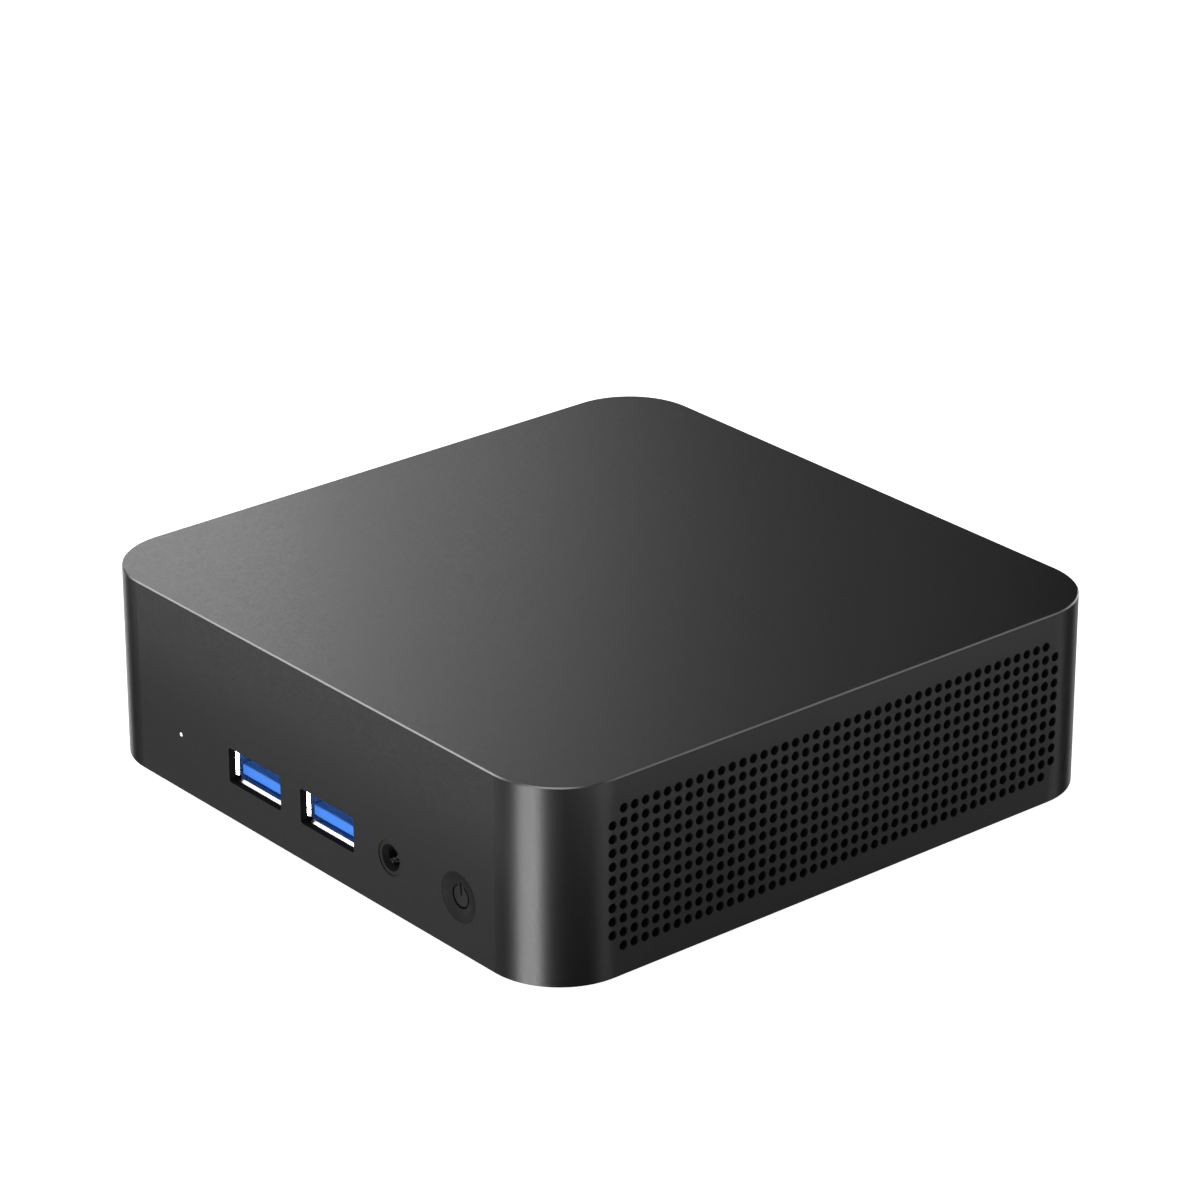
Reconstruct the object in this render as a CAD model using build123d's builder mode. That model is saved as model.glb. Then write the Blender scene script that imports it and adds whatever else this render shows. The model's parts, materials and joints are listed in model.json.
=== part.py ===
"""Mini PC: a square desktop computer, open for cooling on both sides, with its board and fan inside.

Frame: +Z up, front face towards -Y, +X to the right of someone facing the front.
The origin is on the floor under the middle of the body. Millimetres.
"""

import os

from build123d import *

os.makedirs("parts", exist_ok=True)

# ---- driving dimensions --------------------------------------------------------------------------
WIDTH = 115.0            # X and Y: the body is square in plan
BODY_HEIGHT = 32.8
FOOT_HEIGHT = 1.6        # how far the feet hold the body off the desk
CORNER_RADIUS = 12.5
WALL = 1.8
EDGE_BREAK = 0.2         # bright chamfer round the top face

BASE = FOOT_HEIGHT
TOP = BASE + BODY_HEIGHT
FACE = WIDTH / 2         # distance from the axis to each outer face
CORNER_START = FACE - CORNER_RADIUS   # where a side's straight run ends
CEILING = TOP - WALL

# perforated sides
COLUMNS = 44
ROWS = 11
PITCH_Y = 2.108
PITCH_Z = 2.267
VENT_HOLE_RADIUS = 0.78
VENT_CENTRE_Z = 17.85
VENT_MARGIN = 1.7
VENT_LENGTH = (COLUMNS - 1) * PITCH_Y + 2 * VENT_MARGIN
VENT_HEIGHT = (ROWS - 1) * PITCH_Z + 2 * VENT_MARGIN

# screws
BOSS_SPREAD = 49.5
BOSS_RADIUS = 4.5
INSERT_RADIUS = 2.1
INSERT_LENGTH = 6.0
INSERT_TIP_ROOM = 1.5    # bore left past the insert for the screw's tip
SLOT_DEPTH = 0.8         # cross slots in the screw heads
M3_RADIUS = 1.45
M3_CLEAR_RADIUS = 1.7
M3_HEAD_RADIUS = 2.75
M3_HEAD_HEIGHT = 1.2
M25_RADIUS = 1.2
M25_HEAD_RADIUS = 2.3
M25_HEAD_HEIGHT = 1.5
STANDOFF_X = 47.5
STANDOFF_Y = 35.0
STANDOFF_RADIUS = 3.0
BOARD_SCREW_LENGTH = 7.0

# bottom
COVER_THICKNESS = 2.0
COVER_TOP = BASE + COVER_THICKNESS
COVER_GAP = 0.2
FOOT_RADIUS = 5.9
FOOT_RECESS = 0.5
FOOT_SPREAD = 38.0
BRACKET_SPACING = 60.0
BRACKET_THREAD_RADIUS = 1.25
BUSH_RADIUS = 2.4
BUSH_WALL = 1.4          # of the collar that holds a bush
BUSH_COLLAR_HEIGHT = 3.0
INTAKE_SLOT = (20.0, 2.0)
INTAKE_PITCH = (26.0, 4.6)
INTAKE_ROWS = 6
INTAKE_Y = 24.0

# mainboard
BOARD_Z = 14.4
BOARD_THICKNESS = 1.6
BOARD_TOP = BOARD_Z + BOARD_THICKNESS
BOARD_FRONT = -54.0
BOARD_REAR = 53.0
BOARD_HALF_WIDTH = 53.5
BOARD_MID_Y = (BOARD_FRONT + BOARD_REAR) / 2
BOARD_CORNER = 9.2       # square cut out of each corner, round the bosses
BUTTON_NOTCH = (12.0, 8.0)
LAN_NOTCH_DEPTH = 36.0

# front panel, left to right
PORT_Z = 11.0
LED_X = -34.2
LED_Z = 11.4
LED_RADIUS = 0.35
FRONT_USB_X = (-14.55, 4.05)
USB_CUTOUT = (13.5, 6.0)
USB_CUTOUT_RADIUS = 0.5
USB_POCKET = 1.0         # widening of the wall behind the cut-out, round the lips
SNUG = 0.05              # radial room round a part that is pushed into its hole
JACK_X = 19.85
JACK_Z = 10.8
JACK_NOSE_RADIUS = 2.85
JACK_BORE_RADIUS = 1.8
BUTTON_X = 36.5
BUTTON_Z = 10.85
BUTTON_RADIUS = 4.0
BUTTON_CLEARANCE = 0.08
BUTTON_TRAVEL = 0.5
SLEEVE_LENGTH = 2.6      # guide behind the wall
SLEEVE_WALL = 1.3

# USB type A receptacle
USB_INSIDE = (12.5, 5.12)
SHELL_THICKNESS = 0.3
USB_DEPTH = 14.0
USB_FLARE = 0.7          # the lips turn out by this much
USB_FLARE_DEPTH = 0.4
USB_LIP_GAP = 1.4        # square relief where two lips meet
USB_MOUTH = 1.2          # how far the front mouths sit behind the outer face
USB_REAR_MOUTH = 0.6
USB_TONGUE = (11.1, 1.84)
USB_TONGUE_DROP = 0.87   # the tongue's middle below the opening's middle
USB_TONGUE_START = 0.63
USB_TONGUE_ROOT = 10.0
USB_TONGUE_CHAMFER = 0.12

# rear panel
REAR_WINDOW_HALF = 44.0
REAR_WINDOW_Z = (4.6, 31.0)
REAR_FLANGE = (0.8, 0.6)  # how far the panel laps behind the window's sides, and top and bottom
REAR_FLANGE_THICKNESS = 0.8
EXHAUST_SLOT = (8.6, 2.0)
EXHAUST_PITCH = 3.6
EXHAUST_COUNT = 18
EXHAUST_Z = 25.4
DC_X = -38.0
DC_Z = 10.2
DC_HOLE_RADIUS = 3.15
DC_COLLAR_RADIUS = 4.05
DC_PIN_RADIUS = 1.2
HDMI_X = (-23.0, -5.0)
HDMI_Z = 11.2
HDMI_OUTSIDE = (14.5, 5.6)
LAN_X = 13.7
LAN_Z = 11.8
LAN_BODY = (16.0, 11.6, 21.0)
LAN_SOCKET = (11.9, 8.2, 14.0)
LAN_SOCKET_DROP = 0.4
LAN_KEYWAY = (6.2, 1.4)
REAR_USB_X = 32.0
HDMI_ROOM = 0.6          # how much wider and higher than its connector each opening is
LAN_ROOM = 0.4
REAR_USB_ROOM = 1.4

# cooling
FAN_X = 4.0
FAN_Y = -6.0
FAN_FLOOR = 19.6
FAN_HEIGHT = 11.0
FAN_OUTER_RADIUS = 27.0
ROTOR_RADIUS = 22.0
HUB_RADIUS = 11.0
BLADES = 29
BLADE_ANGLE = 24.0
SHAFT_RADIUS = 1.0
BEARING_CLEARANCE = 0.03
CPU_X = -34.0
CPU_Y = 8.0
FIN_COUNT = 24
FIN_PITCH = 2.3
FIN_BLOCK_X = 4.0


def front_plane(depth=0.0):
    """A plane parallel to the front face, depth behind it; its x is X and its y is Z."""
    return Plane.XZ.offset(FACE - depth)


def rear_plane(depth=0.0):
    """A plane parallel to the rear face, depth inside it; its x is X and its y is Z."""
    return Plane((0, FACE - depth, 0), x_dir=(1, 0, 0), z_dir=(0, -1, 0))


def four(spread_x, spread_y):
    """The four corners of a rectangle about the origin."""
    return [(sx * spread_x, sy * spread_y) for sx in (-1, 1) for sy in (-1, 1)]


def cross_slot(head_radius):
    """The two crossed slots of a screw head, at the sketch's current location."""
    long = 1.1 * head_radius
    wide = 0.22 * head_radius
    Rectangle(long, wide)
    Rectangle(wide, long)


# ---- housing: top and four walls in one piece, open underneath -----------------------------------
with BuildPart() as housing:
    with BuildSketch(Plane.XY.offset(BASE)):
        RectangleRounded(WIDTH, WIDTH, CORNER_RADIUS)
    extrude(amount=BODY_HEIGHT)
    chamfer(housing.faces().sort_by(Axis.Z)[-1].edges(), EDGE_BREAK)
    with BuildSketch(Plane.XY.offset(BASE)):
        RectangleRounded(WIDTH - 2 * WALL, WIDTH - 2 * WALL, CORNER_RADIUS - WALL)
    extrude(amount=BODY_HEIGHT - WALL, mode=Mode.SUBTRACT)
    # windows for the two perforated sides and the rear panel
    with BuildSketch(Plane.YZ):
        with Locations((0, VENT_CENTRE_Z)):
            Rectangle(VENT_LENGTH, VENT_HEIGHT)
    extrude(amount=WIDTH, both=True, mode=Mode.SUBTRACT)
    with BuildSketch(rear_plane()):
        with Locations((0, sum(REAR_WINDOW_Z) / 2)):
            Rectangle(2 * REAR_WINDOW_HALF, REAR_WINDOW_Z[1] - REAR_WINDOW_Z[0])
    extrude(amount=WALL, mode=Mode.SUBTRACT)
    # front openings, with a pocket behind the USB pair for the turned-out lips
    with BuildSketch(front_plane()):
        with Locations(*[(x, PORT_Z) for x in FRONT_USB_X]):
            RectangleRounded(*USB_CUTOUT, USB_CUTOUT_RADIUS)
        with Locations((JACK_X, JACK_Z)):
            Circle(JACK_NOSE_RADIUS + SNUG)
        with Locations((LED_X, LED_Z)):
            Circle(LED_RADIUS + 0.4 * SNUG)
    extrude(amount=-WALL, mode=Mode.SUBTRACT)
    with BuildSketch(front_plane(USB_MOUTH)):
        with Locations(*[(x, PORT_Z) for x in FRONT_USB_X]):
            Rectangle(USB_CUTOUT[0] + 2 * USB_POCKET, USB_CUTOUT[1] + 2 * USB_POCKET)
    extrude(amount=-(WALL - USB_MOUTH), mode=Mode.SUBTRACT)
    # guide sleeve of the power button
    with BuildSketch(front_plane(WALL)):
        with Locations((BUTTON_X, BUTTON_Z)):
            Circle(BUTTON_RADIUS + SLEEVE_WALL)
    extrude(amount=-SLEEVE_LENGTH)
    with BuildSketch(front_plane()):
        with Locations((BUTTON_X, BUTTON_Z)):
            Circle(BUTTON_RADIUS + BUTTON_CLEARANCE)
    extrude(amount=-(WALL + SLEEVE_LENGTH), mode=Mode.SUBTRACT)
    # bosses: corners take the bottom cover, the other four carry the mainboard
    with BuildSketch(Plane.XY.offset(COVER_TOP)):
        with Locations(*four(BOSS_SPREAD, BOSS_SPREAD)):
            Circle(BOSS_RADIUS)
    extrude(amount=CEILING - COVER_TOP)
    with BuildSketch(Plane.XY.offset(BOARD_TOP)):
        with Locations(*four(STANDOFF_X, STANDOFF_Y)):
            Circle(STANDOFF_RADIUS)
    extrude(amount=CEILING - BOARD_TOP)
    with BuildSketch(Plane.XY.offset(COVER_TOP)):
        with Locations(*four(BOSS_SPREAD, BOSS_SPREAD)):
            Circle(INSERT_RADIUS)
    extrude(amount=INSERT_LENGTH + INSERT_TIP_ROOM, mode=Mode.SUBTRACT)
    with BuildSketch(Plane.XY.offset(BOARD_TOP)):
        with Locations(*four(STANDOFF_X, STANDOFF_Y)):
            Circle(M25_RADIUS + 0.4 * SNUG)
    extrude(amount=BOARD_SCREW_LENGTH, mode=Mode.SUBTRACT)
housing.part.label = "housing"
export_step(housing.part, "parts/housing.step")

# ---- perforated side panels, flush in their windows and following the start of the corners -------
corner_y = (COLUMNS - 1) * PITCH_Y / 2
corner_z = (ROWS - 1) * PITCH_Z / 2
vent_places = [
    (-corner_y + column * PITCH_Y, VENT_CENTRE_Z - corner_z + row * PITCH_Z)
    for column in range(COLUMNS)
    for row in range(ROWS)
    if not (column in (0, COLUMNS - 1) and row in (0, ROWS - 1))
]
for side, name in ((1, "right_vent_panel"), (-1, "left_vent_panel")):
    with BuildPart() as vent_panel:
        with BuildSketch(Plane.XY.offset(VENT_CENTRE_Z - VENT_HEIGHT / 2)):
            RectangleRounded(WIDTH, WIDTH, CORNER_RADIUS)
            RectangleRounded(WIDTH - 2 * WALL, WIDTH - 2 * WALL, CORNER_RADIUS - WALL,
                             mode=Mode.SUBTRACT)
        extrude(amount=VENT_HEIGHT)
        with BuildSketch(Plane.YZ):
            with Locations((0, VENT_CENTRE_Z)):
                Rectangle(VENT_LENGTH, VENT_HEIGHT)
        extrude(amount=side * WIDTH, mode=Mode.INTERSECT)
        with BuildSketch(Plane.YZ.offset(side * CORNER_START)):
            with Locations(*vent_places):
                Circle(VENT_HOLE_RADIUS)
        extrude(amount=side * (CORNER_RADIUS + WALL), mode=Mode.SUBTRACT)
    vent_panel.part.label = name
    export_step(vent_panel.part, f"parts/{name}.step")

# ---- rear panel ----------------------------------------------------------------------------------
rear_low, rear_high = REAR_WINDOW_Z
with BuildPart() as rear_io_panel:
    with BuildSketch(rear_plane()):
        with Locations((0, (rear_low + rear_high) / 2)):
            Rectangle(2 * REAR_WINDOW_HALF, rear_high - rear_low)
    extrude(amount=WALL)
    with BuildSketch(rear_plane(WALL)):
        with Locations((0, (rear_low + rear_high) / 2)):
            Rectangle(2 * (REAR_WINDOW_HALF + REAR_FLANGE[0]), rear_high - rear_low + 2 * REAR_FLANGE[1])
    extrude(amount=REAR_FLANGE_THICKNESS)
    with BuildSketch(rear_plane()):
        with Locations((DC_X, DC_Z)):
            Circle(DC_COLLAR_RADIUS + 2 * SNUG)
        with Locations(*[(x, HDMI_Z) for x in HDMI_X]):
            RectangleRounded(HDMI_OUTSIDE[0] + HDMI_ROOM, HDMI_OUTSIDE[1] + HDMI_ROOM, USB_CUTOUT_RADIUS)
        with Locations((LAN_X, LAN_Z)):
            RectangleRounded(LAN_BODY[0] + LAN_ROOM, LAN_BODY[1] + LAN_ROOM, USB_CUTOUT_RADIUS)
        with Locations((REAR_USB_X, PORT_Z)):
            RectangleRounded(USB_CUTOUT[0] + REAR_USB_ROOM, USB_CUTOUT[1] + REAR_USB_ROOM, USB_CUTOUT_RADIUS)
        with Locations((FIN_BLOCK_X, EXHAUST_Z)):
            with GridLocations(EXHAUST_PITCH, 1.0, EXHAUST_COUNT, 1):
                SlotOverall(*EXHAUST_SLOT, rotation=90)
    extrude(amount=WALL + REAR_FLANGE_THICKNESS, mode=Mode.SUBTRACT)
rear_io_panel.part.label = "rear_io_panel"
export_step(rear_io_panel.part, "parts/rear_io_panel.step")

# ---- bottom cover, feet, screws ------------------------------------------------------------------
cover_width = WIDTH - 2 * WALL - 2 * COVER_GAP
bracket_places = [(-BRACKET_SPACING / 2, 0), (BRACKET_SPACING / 2, 0)]
with BuildPart() as bottom_cover:
    with BuildSketch(Plane.XY.offset(BASE)):
        RectangleRounded(cover_width, cover_width, CORNER_RADIUS - WALL - COVER_GAP)
    extrude(amount=COVER_THICKNESS)
    with BuildSketch(Plane.XY.offset(COVER_TOP)):
        with Locations(*bracket_places):
            Circle(BUSH_RADIUS + BUSH_WALL)
    extrude(amount=BUSH_COLLAR_HEIGHT)
    with BuildSketch(Plane.XY.offset(BASE)):
        with Locations(*bracket_places):
            Circle(BUSH_RADIUS)
    extrude(amount=COVER_THICKNESS + BUSH_COLLAR_HEIGHT, mode=Mode.SUBTRACT)
    with BuildSketch(Plane.XY.offset(BASE)):
        with Locations(*four(FOOT_SPREAD, FOOT_SPREAD)):
            Circle(FOOT_RADIUS + 2 * SNUG)
    extrude(amount=FOOT_RECESS, mode=Mode.SUBTRACT)
    with BuildSketch(Plane.XY.offset(BASE)):
        with Locations(*four(BOSS_SPREAD, BOSS_SPREAD)):
            Circle(M3_HEAD_RADIUS + 5 * SNUG)
    extrude(amount=M3_HEAD_HEIGHT, mode=Mode.SUBTRACT)
    with BuildSketch(Plane.XY.offset(BASE)):
        with Locations(*four(BOSS_SPREAD, BOSS_SPREAD)):
            Circle(M3_CLEAR_RADIUS)
    extrude(amount=COVER_THICKNESS, mode=Mode.SUBTRACT)
    with BuildSketch(Plane.XY.offset(BASE)):
        with Locations((0, INTAKE_Y), (0, -INTAKE_Y)):
            with GridLocations(*INTAKE_PITCH, 2, INTAKE_ROWS):
                SlotOverall(*INTAKE_SLOT)
    extrude(amount=COVER_THICKNESS, mode=Mode.SUBTRACT)
bottom_cover.part.label = "bottom_cover"
export_step(bottom_cover.part, "parts/bottom_cover.step")

with BuildPart() as rubber_feet:
    with BuildSketch():
        with Locations(*four(FOOT_SPREAD, FOOT_SPREAD)):
            Circle(FOOT_RADIUS)
    extrude(amount=FOOT_HEIGHT + FOOT_RECESS)
    chamfer(rubber_feet.edges().group_by(Axis.Z)[0], 0.4)
rubber_feet.part.label = "rubber_feet"
export_step(rubber_feet.part, "parts/rubber_feet.step")

with BuildPart() as bottom_cover_screws:
    with BuildSketch(Plane.XY.offset(BASE)):
        with Locations(*four(BOSS_SPREAD, BOSS_SPREAD)):
            Circle(M3_HEAD_RADIUS)
    extrude(amount=M3_HEAD_HEIGHT)
    chamfer(bottom_cover_screws.edges().group_by(Axis.Z)[0], 0.3)
    with BuildSketch(Plane.XY.offset(BASE)):
        with Locations(*four(BOSS_SPREAD, BOSS_SPREAD)):
            Circle(M3_RADIUS)
    extrude(amount=M3_HEAD_HEIGHT + INSERT_LENGTH)
    with BuildSketch(Plane.XY.offset(BASE)):
        with Locations(*four(BOSS_SPREAD, BOSS_SPREAD)):
            cross_slot(M3_HEAD_RADIUS)
    extrude(amount=SLOT_DEPTH, mode=Mode.SUBTRACT)
bottom_cover_screws.part.label = "bottom_cover_screws"
export_step(bottom_cover_screws.part, "parts/bottom_cover_screws.step")

with BuildPart() as threaded_inserts:
    with BuildSketch(Plane.XY.offset(COVER_TOP)):
        with Locations(*four(BOSS_SPREAD, BOSS_SPREAD)):
            Circle(INSERT_RADIUS)
            Circle(M3_RADIUS, mode=Mode.SUBTRACT)
    extrude(amount=INSERT_LENGTH)
threaded_inserts.part.label = "threaded_inserts"
export_step(threaded_inserts.part, "parts/threaded_inserts.step")

with BuildPart() as bracket_bushes:
    with BuildSketch(Plane.XY.offset(BASE)):
        with Locations(*bracket_places):
            Circle(BUSH_RADIUS)
            Circle(BRACKET_THREAD_RADIUS, mode=Mode.SUBTRACT)
    extrude(amount=COVER_THICKNESS + BUSH_COLLAR_HEIGHT)
bracket_bushes.part.label = "bracket_bushes"
export_step(bracket_bushes.part, "parts/bracket_bushes.step")

# ---- mainboard -----------------------------------------------------------------------------------
with BuildPart() as mainboard:
    with BuildSketch(Plane.XY.offset(BOARD_Z)):
        with Locations((0, BOARD_MID_Y)):
            Rectangle(2 * BOARD_HALF_WIDTH, BOARD_REAR - BOARD_FRONT)
        with Locations(*four(BOARD_HALF_WIDTH, BOARD_HALF_WIDTH)):
            Rectangle(2 * BOARD_CORNER, 2 * BOARD_CORNER, mode=Mode.SUBTRACT)
        with Locations((BUTTON_X, BOARD_FRONT)):
            Rectangle(*BUTTON_NOTCH, mode=Mode.SUBTRACT)
        with Locations((LAN_X, BOARD_REAR)):
            Rectangle(LAN_BODY[0] + 0.6, LAN_NOTCH_DEPTH, mode=Mode.SUBTRACT)
        with Locations(*four(STANDOFF_X, STANDOFF_Y)):
            Circle(M25_RADIUS + 4 * SNUG, mode=Mode.SUBTRACT)
    extrude(amount=BOARD_THICKNESS)
mainboard.part.label = "mainboard"
export_step(mainboard.part, "parts/mainboard.step")

with BuildPart() as board_screws:
    with BuildSketch(Plane.XY.offset(BOARD_Z)):
        with Locations(*four(STANDOFF_X, STANDOFF_Y)):
            Circle(M25_HEAD_RADIUS)
    extrude(amount=-M25_HEAD_HEIGHT)
    with BuildSketch(Plane.XY.offset(BOARD_Z)):
        with Locations(*four(STANDOFF_X, STANDOFF_Y)):
            Circle(M25_RADIUS)
    extrude(amount=BOARD_SCREW_LENGTH)
    with BuildSketch(Plane.XY.offset(BOARD_Z - M25_HEAD_HEIGHT)):
        with Locations(*four(STANDOFF_X, STANDOFF_Y)):
            cross_slot(M25_HEAD_RADIUS)
    extrude(amount=SLOT_DEPTH, mode=Mode.SUBTRACT)
board_screws.part.label = "board_screws"
export_step(board_screws.part, "parts/board_screws.step")


# ---- USB receptacles: a steel shell with turned-out lips, and its blue tongue --------------------
def usb_port(name, x, mouth, inward):
    """One type A receptacle; mouth is the Y of its open end, inward the Y direction into the body."""

    def across(depth):
        return Plane((x, mouth + inward * depth, PORT_Z), x_dir=(1, 0, 0), z_dir=(0, inward, 0))

    inside_x, inside_z = USB_INSIDE
    outside_x = inside_x + 2 * SHELL_THICKNESS
    outside_z = inside_z + 2 * SHELL_THICKNESS
    with BuildPart() as shell:
        with BuildSketch(across(0)):
            Rectangle(outside_x + 2 * USB_FLARE, outside_z + 2 * USB_FLARE)
        with BuildSketch(across(USB_FLARE_DEPTH)):
            Rectangle(outside_x, outside_z)
        loft()
        with BuildSketch(across(USB_FLARE_DEPTH)):
            Rectangle(outside_x, outside_z)
        extrude(amount=USB_DEPTH - USB_FLARE_DEPTH)
        with BuildSketch(across(0)):
            Rectangle(inside_x + 2 * USB_FLARE, inside_z + 2 * USB_FLARE)
        with BuildSketch(across(USB_FLARE_DEPTH)):
            Rectangle(inside_x, inside_z)
        loft(mode=Mode.SUBTRACT)
        with BuildSketch(across(USB_FLARE_DEPTH)):
            Rectangle(inside_x, inside_z)
        extrude(amount=USB_DEPTH - USB_FLARE_DEPTH - SHELL_THICKNESS, mode=Mode.SUBTRACT)
        # relief at each corner, so the mouth is four separate lips
        with BuildSketch(across(0)):
            with Locations(*four(outside_x / 2, outside_z / 2)):
                Rectangle(USB_LIP_GAP, USB_LIP_GAP)
        extrude(amount=USB_FLARE_DEPTH + SHELL_THICKNESS, mode=Mode.SUBTRACT)
    shell.part.label = f"{name}_shell"
    export_step(shell.part, f"parts/{name}_shell.step")

    with BuildPart() as tongue:
        with BuildSketch(across(USB_TONGUE_START)):
            with Locations((0, inward * USB_TONGUE_DROP)):
                Rectangle(*USB_TONGUE)
        extrude(amount=USB_TONGUE_ROOT - USB_TONGUE_START)
        front_edges = tongue.edges().filter_by(Axis.X).group_by(Axis.Y)
        chamfer(front_edges[0 if inward > 0 else -1], USB_TONGUE_CHAMFER)
        with BuildSketch(across(USB_TONGUE_ROOT)):
            Rectangle(inside_x, inside_z)
        extrude(amount=USB_DEPTH - SHELL_THICKNESS - USB_TONGUE_ROOT)
    tongue.part.label = f"{name}_tongue"
    export_step(tongue.part, f"parts/{name}_tongue.step")


usb_port("front_usb_left", FRONT_USB_X[0], -FACE + USB_MOUTH, 1)
usb_port("front_usb_right", FRONT_USB_X[1], -FACE + USB_MOUTH, 1)
usb_port("rear_usb", REAR_USB_X, FACE - USB_REAR_MOUTH, -1)

# ---- audio jack: a round nose through the wall and a block behind it, bored for the plug -----
JACK_NOSE_START = 0.12
JACK_BODY_START = 2.0
JACK_BLOCK = (7.0, 6.6)
JACK_BLOCK_END = 14.0
JACK_LEAD_IN = (0.4, 1.0)    # how much wider the mouth is than the bore, and how deep its cone
with BuildPart() as audio_jack:
    with BuildSketch(front_plane(JACK_NOSE_START)):
        with Locations((JACK_X, JACK_Z)):
            Circle(JACK_NOSE_RADIUS)
    extrude(amount=-(JACK_BODY_START - JACK_NOSE_START))
    with BuildSketch(front_plane(JACK_BODY_START)):
        with Locations((JACK_X, JACK_Z)):
            Rectangle(*JACK_BLOCK)
    extrude(amount=-(JACK_BLOCK_END - JACK_BODY_START))
    with BuildSketch(front_plane(JACK_NOSE_START)):
        with Locations((JACK_X, JACK_Z)):
            Circle(JACK_BORE_RADIUS)
    extrude(amount=-(JACK_BLOCK_END - JACK_NOSE_START), mode=Mode.SUBTRACT)
    with BuildSketch(front_plane(JACK_NOSE_START)):
        with Locations((JACK_X, JACK_Z)):
            Circle(JACK_BORE_RADIUS + JACK_LEAD_IN[0])
    with BuildSketch(front_plane(JACK_NOSE_START + JACK_LEAD_IN[1])):
        with Locations((JACK_X, JACK_Z)):
            Circle(JACK_BORE_RADIUS)
    loft(mode=Mode.SUBTRACT)
audio_jack.part.label = "audio_jack"
export_step(audio_jack.part, "parts/audio_jack.step")

# ---- power button and the switch behind it -------------------------------------------------------
BUTTON_FRONT = 0.04      # the rim of the button sits this far behind the housing's face
DISH_DEPTH = 0.45
dish_rim = BUTTON_RADIUS - 0.1
dish_radius = (dish_rim**2 + DISH_DEPTH**2) / (2 * DISH_DEPTH)
FLANGE_DEPTH = WALL + SLEEVE_LENGTH + SNUG
FLANGE = (10.0, 6.0, 0.8)
STEM = (1.2, 2.0)        # radius and length of the stem that pushes the switch
RING = (2.0, 1.65)       # outer and inner radius of the engraved ring
RING_BREAK = (1.5, 2.0)
BAR = (0.38, 2.2)
BAR_RISE = 1.2
ENGRAVING = 0.2          # depth under the bottom of the dish
with BuildPart() as power_button:
    with BuildSketch(front_plane(BUTTON_FRONT)):
        with Locations((BUTTON_X, BUTTON_Z)):
            Circle(BUTTON_RADIUS)
    extrude(amount=-(FLANGE_DEPTH - BUTTON_FRONT))
    with BuildSketch(front_plane(FLANGE_DEPTH)):
        with Locations((BUTTON_X, BUTTON_Z)):
            Rectangle(FLANGE[0], FLANGE[1])
    extrude(amount=-FLANGE[2])
    with BuildSketch(front_plane(FLANGE_DEPTH)):
        with Locations((BUTTON_X, BUTTON_Z)):
            Circle(STEM[0])
    extrude(amount=-STEM[1])
    with Locations((BUTTON_X, -FACE + BUTTON_FRONT + DISH_DEPTH - dish_radius, BUTTON_Z)):
        Sphere(dish_radius, mode=Mode.SUBTRACT)
    # the usual broken ring and bar, engraved
    with BuildSketch(front_plane(BUTTON_FRONT)):
        with Locations((BUTTON_X, BUTTON_Z)):
            Circle(RING[0])
            Circle(RING[1], mode=Mode.SUBTRACT)
        with Locations((BUTTON_X, BUTTON_Z + RING[0])):
            Rectangle(*RING_BREAK, mode=Mode.SUBTRACT)
        with Locations((BUTTON_X, BUTTON_Z + BAR_RISE)):
            Rectangle(*BAR)
    extrude(amount=-(DISH_DEPTH + ENGRAVING), mode=Mode.SUBTRACT)
power_button.part.label = "power_button"
export_step(power_button.part, "parts/power_button.step")

SWITCH_FRONT = 8.0
SWITCH = (6.4, 6.3, 4.6)
PLUNGER_RADIUS = 1.5
PLUNGER_START = FLANGE_DEPTH + STEM[1] + 0.02
PLUNGER_END = SWITCH_FRONT + 3.0
PLUNGER_WELL_END = PLUNGER_END + BUTTON_TRAVEL + 0.1
with BuildPart() as switch_body:
    with BuildSketch(front_plane(SWITCH_FRONT)):
        with Locations((BUTTON_X, BOARD_Z - SWITCH[1] / 2)):
            Rectangle(SWITCH[0], SWITCH[1])
    extrude(amount=-SWITCH[2])
    with BuildSketch(front_plane(SWITCH_FRONT)):
        with Locations((BUTTON_X, BUTTON_Z)):
            Circle(PLUNGER_RADIUS + SNUG)
    extrude(amount=-(PLUNGER_WELL_END - SWITCH_FRONT), mode=Mode.SUBTRACT)
switch_body.part.label = "switch_body"
export_step(switch_body.part, "parts/switch_body.step")

with BuildPart() as switch_plunger:
    with BuildSketch(front_plane(PLUNGER_START)):
        with Locations((BUTTON_X, BUTTON_Z)):
            Circle(PLUNGER_RADIUS)
    extrude(amount=-(PLUNGER_END - PLUNGER_START))
switch_plunger.part.label = "switch_plunger"
export_step(switch_plunger.part, "parts/switch_plunger.step")

# ---- status light: a lamp under the board's edge and a clear pipe to the face --------------------
LED_TIP_START = 0.05
LED_PIPE_RADIUS = 1.1
LED_PIPE_START = WALL + 0.2
LED_PIPE_END = 6.4
LED_LAMP = (2.2, 1.6)    # width and depth
with BuildPart() as led_light_pipe:
    with BuildSketch(front_plane(LED_TIP_START)):
        with Locations((LED_X, LED_Z)):
            Circle(LED_RADIUS)
    extrude(amount=-(LED_PIPE_START - LED_TIP_START))
    with BuildSketch(front_plane(LED_PIPE_START)):
        with Locations((LED_X, LED_Z)):
            Circle(LED_PIPE_RADIUS)
    extrude(amount=-(LED_PIPE_END - LED_PIPE_START))
led_light_pipe.part.label = "led_light_pipe"
export_step(led_light_pipe.part, "parts/led_light_pipe.step")

lamp_low = LED_Z - LED_PIPE_RADIUS
with BuildPart() as status_led:
    with BuildSketch(front_plane(LED_PIPE_END)):
        with Locations((LED_X, (lamp_low + BOARD_Z) / 2)):
            Rectangle(LED_LAMP[0], BOARD_Z - lamp_low)
    extrude(amount=-LED_LAMP[1])
status_led.part.label = "status_led"
export_step(status_led.part, "parts/status_led.step")

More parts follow.
